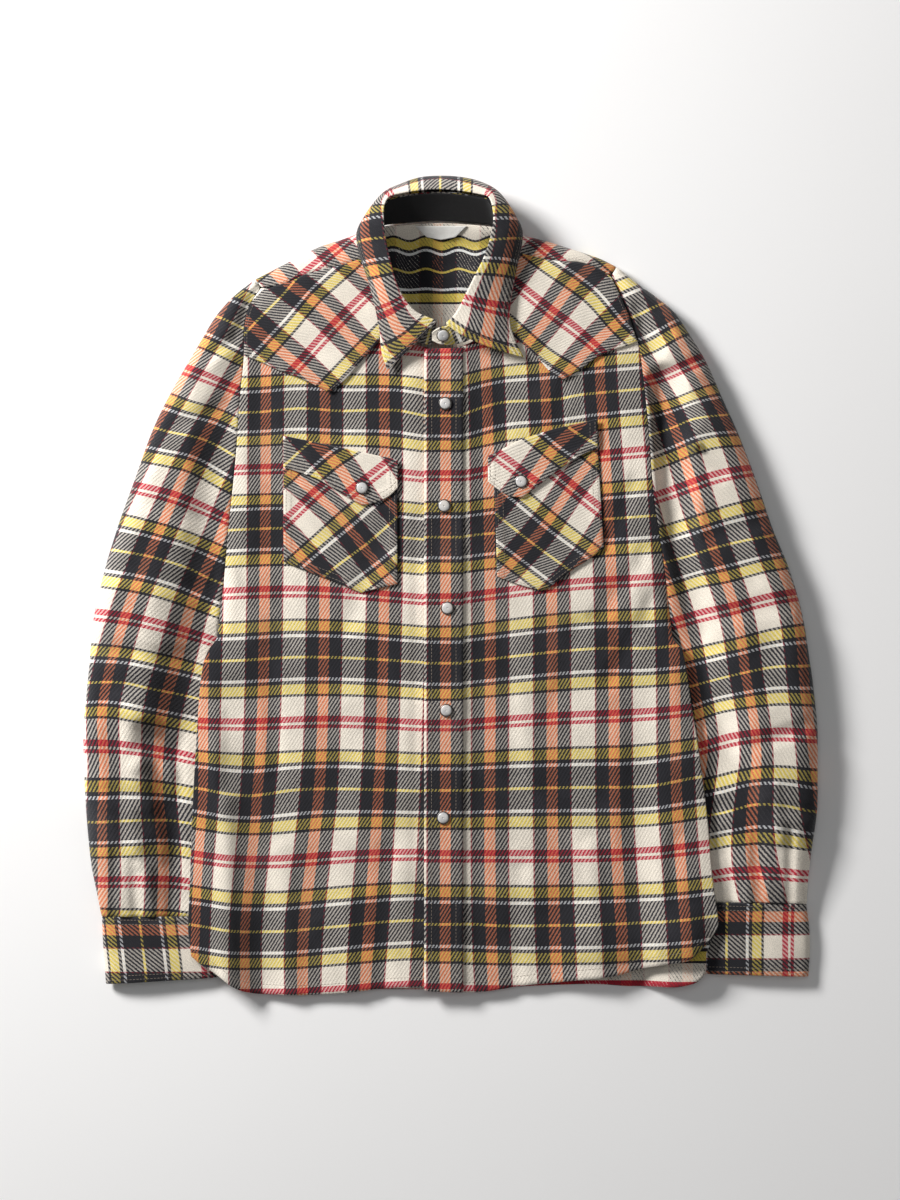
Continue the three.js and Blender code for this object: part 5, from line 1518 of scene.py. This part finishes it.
# Where the stripes lie on the leaf: the warp's phase at its fold and edge, by station of the collar's table,
# and the weft by distance from the middle of the back
LEAF_PHASE = table(
    "station fold edge", [0, -0.45, 0.5], [2, -0.4, 0.3], [3.5, -0.3, 0.22], [5, -0.3, 0.2], [7.5, -0.32, 0.3],
    [12, -0.55, 0.23], [16.5, -0.32, 0.3], [19, -0.43, 0.3], [21, -0.43, 0.3], [22.5, -0.5, 0.35],
    [24, -0.55, 0.5]
)
LEAF_WEFT = table(
    "run weft", [0, 0], [25.6, 28.7], [50.4, 55.7], [80.8, 89.6], [109.2, 118.4], [138.7, 147.1],
    [171, 172], [203.3, 201], [240, 229]
)
BACK_STATION = 12
station = np.linspace(0, len(COLLAR["nx"]) - 1, len(leaf_grid))
phases = [np.interp(station, LEAF_PHASE["station"], LEAF_PHASE[name])[:, None] for name in ("fold", "edge")]
round_leaf = from_edges(leaf_grid)["start"]
leaf_run = along(leaf_grid[:, LEAF_COLUMNS // 2, :2])
leaf_run -= np.interp(BACK_STATION, station, leaf_run)
leaf_u = lerp(*phases, round_leaf / round_leaf[:, -1:]) * WARP_REPEAT
leaf_v = np.interp(np.abs(leaf_run), LEAF_WEFT["run"], LEAF_WEFT["weft"]) * np.sign(leaf_run)
leaf_uv = np.stack([leaf_u, leaf_v[:, None] * np.ones(leaf_u.shape)], axis=-1)
cloth_piece("collar_leaf", leaf_grid, LEFT, leaf_uv, [flannel_cuff, flannel_back])
sew(leaf_grid, LEFT, LEAF_EDGES, EDGE_ROWS)

# Chest pockets and flaps: laid on the front's own points
POCKETS = {
    RIGHT: table(
        "u top x low", [0, 134, -158, 23], [0.17, 130, -140, 16], [0.34, 126, -124, 10], [0.5, 122.5, -106, 3],
        [0.68, 118, -85, -6], [0.84, 115, -68, -1.5], [1, 111, -51, 2]
    ),
    LEFT: table(
        "u top x low", [0, 150, 138, 36], [0.17, 146, 123, 25], [0.34, 141, 106, 14], [0.52, 135, 83, -4],
        [0.68, 127, 68, 0], [0.84, 121, 54, 4.5], [1, 115, 42, 9]
    ),
}
POCKET_POINT = {RIGHT: 4, LEFT: 3}
POCKET_LEAN = {RIGHT: 0, LEFT: 7}
FLAPS = {
    RIGHT: table(
        "x top low", [-158, 142, 113], [-143, 139, 108], [-124, 135, 101], [-105, 131, 89], [-84, 126.5, 77],
        [-70, 123.5, 80], [-58, 121, 86], [-50.5, 119, 93]
    ),
    LEFT: table(
        "x top low", [139, 158, 131], [123, 154, 124], [104, 150, 112], [90, 146, 101], [68, 139, 84.5],
        [56, 133, 86], [44, 127, 93], [36, 123, 99]
    ),
}
FLAP_POINT = {RIGHT: 4, LEFT: 4}
FLAP_CLEAR = 0.2
PATCH_EDGES = ["first", "start", "end"]


def pocket(side):
    u, top, x, low = pointed(POCKETS[side], "u top x low", POCKET_POINT[side], 46)
    v = np.linspace(0, 1, 50)[:, None]
    x = x + POCKET_LEAN[side] * (1 - v) * np.where(u < 0.5, 1, 0.4)
    y = lerp(low, top, v)
    grid = point(x, y, front_height(x, y) + ON_TOP)
    return relief(grid, side, PATCH_EDGES, rows=TWO_ROWS, lift=0.6)


def flap(side):
    x, top, low = pointed(FLAPS[side], "x top low", FLAP_POINT[side], 46)
    v = np.linspace(0, 1, 26)[:, None]
    y = lerp(low, top, v)
    grid = point(x, y, front_height(x, y) + ON_TOP * 2 + FLAP_CLEAR)
    return relief(grid, side, PATCH_EDGES, rows=TWO_ROWS, lift=0.6)


pockets = {side: pocket(side) for side in SIDE_NAMES}
flaps = {side: flap(side) for side in SIDE_NAMES}
# The wearer's right pocket has a twill of its own lean
marked_piece("pocket_right", pockets[RIGHT], RIGHT, flannel_steep)
marked_piece("pocket_left", pockets[LEFT], LEFT)
for side, side_name in SIDE_NAMES.items():
    marked_piece(f"flap_{side_name}", flaps[side], side)
for side in SIDE_NAMES:
    for grid in (pockets[side], flaps[side]):
        sew(grid, side, PATCH_EDGES, TWO_ROWS)

# Snaps: a pearl cap in a metal ring
SNAP_SIDES = 40
CAP_RADIUS = 5.2
CAP_HEIGHT = 2.1
CAP_RISE = 0.3
CAP_PROFILE = [
    (0.85, 0), (0.97, 0.12), (1, 0.32), (0.985, 0.55), (0.93, 0.72), (0.8, 0.85), (0.55, 0.95), (0.25, 0.99)
]
CAP_CENTRE = 0.02
RING_PROFILE = [
    (5.4, 0.2), (6.1, 0.2), (6.3, 0.4), (6.28, 0.8), (6.1, 1.12), (5.9, 1.28), (5.75, 1.3), (5.5, 1.1)
]


def lathe(name, profile, seat, normal):
    """A closed profile of radius and height turned round an axis."""
    first = np.cross(normal, [0, 1, 0])
    first /= np.linalg.norm(first)
    second = np.cross(normal, first)
    angles = np.arange(SNAP_SIDES) / SNAP_SIDES * math.tau
    ring = np.cos(angles)[:, None] * first + np.sin(angles)[:, None] * second
    points = np.concatenate([seat + radius * ring + height * normal for radius, height in profile])
    faces = []
    for k in range(len(profile)):
        low, high = k * SNAP_SIDES, (k + 1) % len(profile) * SNAP_SIDES
        for i in range(SNAP_SIDES):
            j = (i + 1) % SNAP_SIDES
            faces.append((low + i, low + j, high + j, high + i))
    return make_object(name, points, faces)


def snap(name, seat, normal):
    seat = np.asarray(seat, float)
    normal = np.asarray(normal, float) / np.linalg.norm(normal)
    profile = [(r * CAP_RADIUS, h * CAP_HEIGHT) for r, h in CAP_PROFILE]
    profile = [(CAP_CENTRE, 0.0), *profile, (CAP_CENTRE, CAP_HEIGHT)]
    cap = lathe(f"{name}_pearl", profile, seat + normal * CAP_RISE, normal)
    ring = lathe(f"{name}_steel", RING_PROFILE, seat, normal)
    for made, node, material, slot in ((cap, "cap", pearl, "pearl"), (ring, "ring", steel, "snap_metal")):
        made.data.materials.append(material)
        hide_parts(f"{name}_{node}")
        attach(made, "root")


SNAP_CLEAR = 0.35
SLOPE_REACH = 5
COLLAR_SNAP = dict(seat=(-7, 237, 26.6), normal=(0.05, -0.34, 1))
BAND_SNAPS = [(-5, 173), (-6, 76), (-3, -21), (-4, -118), (-7, -220)]
FLAP_SNAPS = {"snap_flap_right": (-84, 93), "snap_flap_left": (67, 99)}
CUFF_SNAP_LEVEL = 2.6


def snap_on(name, height, x, y, above):
    """A snap on the cloth, square to it, above the height by the cloth in between."""
    def slope(dx, dy):
        return (height(x + dx, y + dy) - height(x - dx, y - dy)) / (2 * SLOPE_REACH)

    normal = (-float(slope(SLOPE_REACH, 0)), -float(slope(0, SLOPE_REACH)), 1.0)
    snap(name, (x, y, float(height(x, y)) + above + SNAP_CLEAR), normal)


snap("snap_1", **COLLAR_SNAP)
for number, (x, y) in enumerate(BAND_SNAPS):
    snap_on(f"snap_{number + 2}", left_front_height, np.float64(x), np.float64(y), ON_TOP)
for name, (x, y) in FLAP_SNAPS.items():
    snap_on(name, front_height, np.float64(x), np.float64(y), ON_TOP * 2 + FLAP_CLEAR)
for side, side_name in SIDE_NAMES.items():
    middle = {name: CUFFS[side][name][1:3].mean() for name in ("ix", "iy", "ox", "oy")}
    x, y = (middle["ix"] + middle["ox"]) / 2, (middle["iy"] + middle["oy"]) / 2
    snap(f"snap_cuff_{side_name}", (x, y, CUFF_SNAP_LEVEL), (0, 0, -1))

# Stitching
stitching = make_object("stitching", np.array(stitch_points), stitch_faces)
stitching.data.materials.append(thread)
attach(stitching, "root")

# Surface, light and camera
bpy.ops.mesh.primitive_plane_add(size=9, location=(0, 0, -0.0006))
surface = bpy.context.object
surface.name = "surface"
paper = Nodes("pale_surface")
shade = paper.span(paper.noise(paper.place(), 1.3, 3.0), 0.3, 0.7, 0.0, 1.0)
paper.bump(paper.noise(paper.place(), 420.0, 3.0), 0.0002, 0.2)
surface.data.materials.append(
    paper.finish(paper.mix(shade, (0.86, 0.86, 0.86, 1), (0.89, 0.89, 0.89, 1)), 0.9)
)


def area_light(name, place, size, power, colour):
    light = bpy.data.lights.new(name, "AREA")
    light.shape = "RECTANGLE"
    light.size, light.size_y = size
    light.energy = power
    light.color = colour
    lamp = bpy.data.objects.new(name, light)
    bpy.context.scene.collection.objects.link(lamp)
    lamp.location = place
    lamp.rotation_euler = (-Vector(place)).to_track_quat("-Z", "Y").to_euler()


area_light("window", (-1.9, 1.45, 1.25), (0.9, 0.6), 131, (1.0, 0.985, 0.972))
area_light("overhead", (0.1, 0.5, 2.7), (1.6, 1.6), 8, (0.98, 0.99, 1.0))
area_light("fill", (1.9, -1.2, 1.7), (1.5, 1.5), 5, (1.0, 0.98, 0.96))
AMBIENT = 0.105
world = bpy.data.worlds.new("studio")
bpy.context.scene.world = world
world.use_nodes = True
world.node_tree.nodes["Background"].inputs[0].default_value = (1, 1, 1, 1)
world.node_tree.nodes["Background"].inputs[1].default_value = AMBIENT
bpy.context.scene.view_settings.view_transform = "Standard"

DISTANCE = 3.0
FRAME_HEIGHT = 1.14
SENSOR = 36
PHOTO_CENTRE = (-0.0005, -0.0133)
BODY_LEVEL = 0.012
camera_data = bpy.data.cameras.new("camera")
camera_data.lens = SENSOR * DISTANCE / FRAME_HEIGHT
camera_data.clip_end = 50
camera = bpy.data.objects.new("camera", camera_data)
camera.location = (*PHOTO_CENTRE, DISTANCE + BODY_LEVEL)
bpy.context.scene.collection.objects.link(camera)
bpy.context.scene.camera = camera
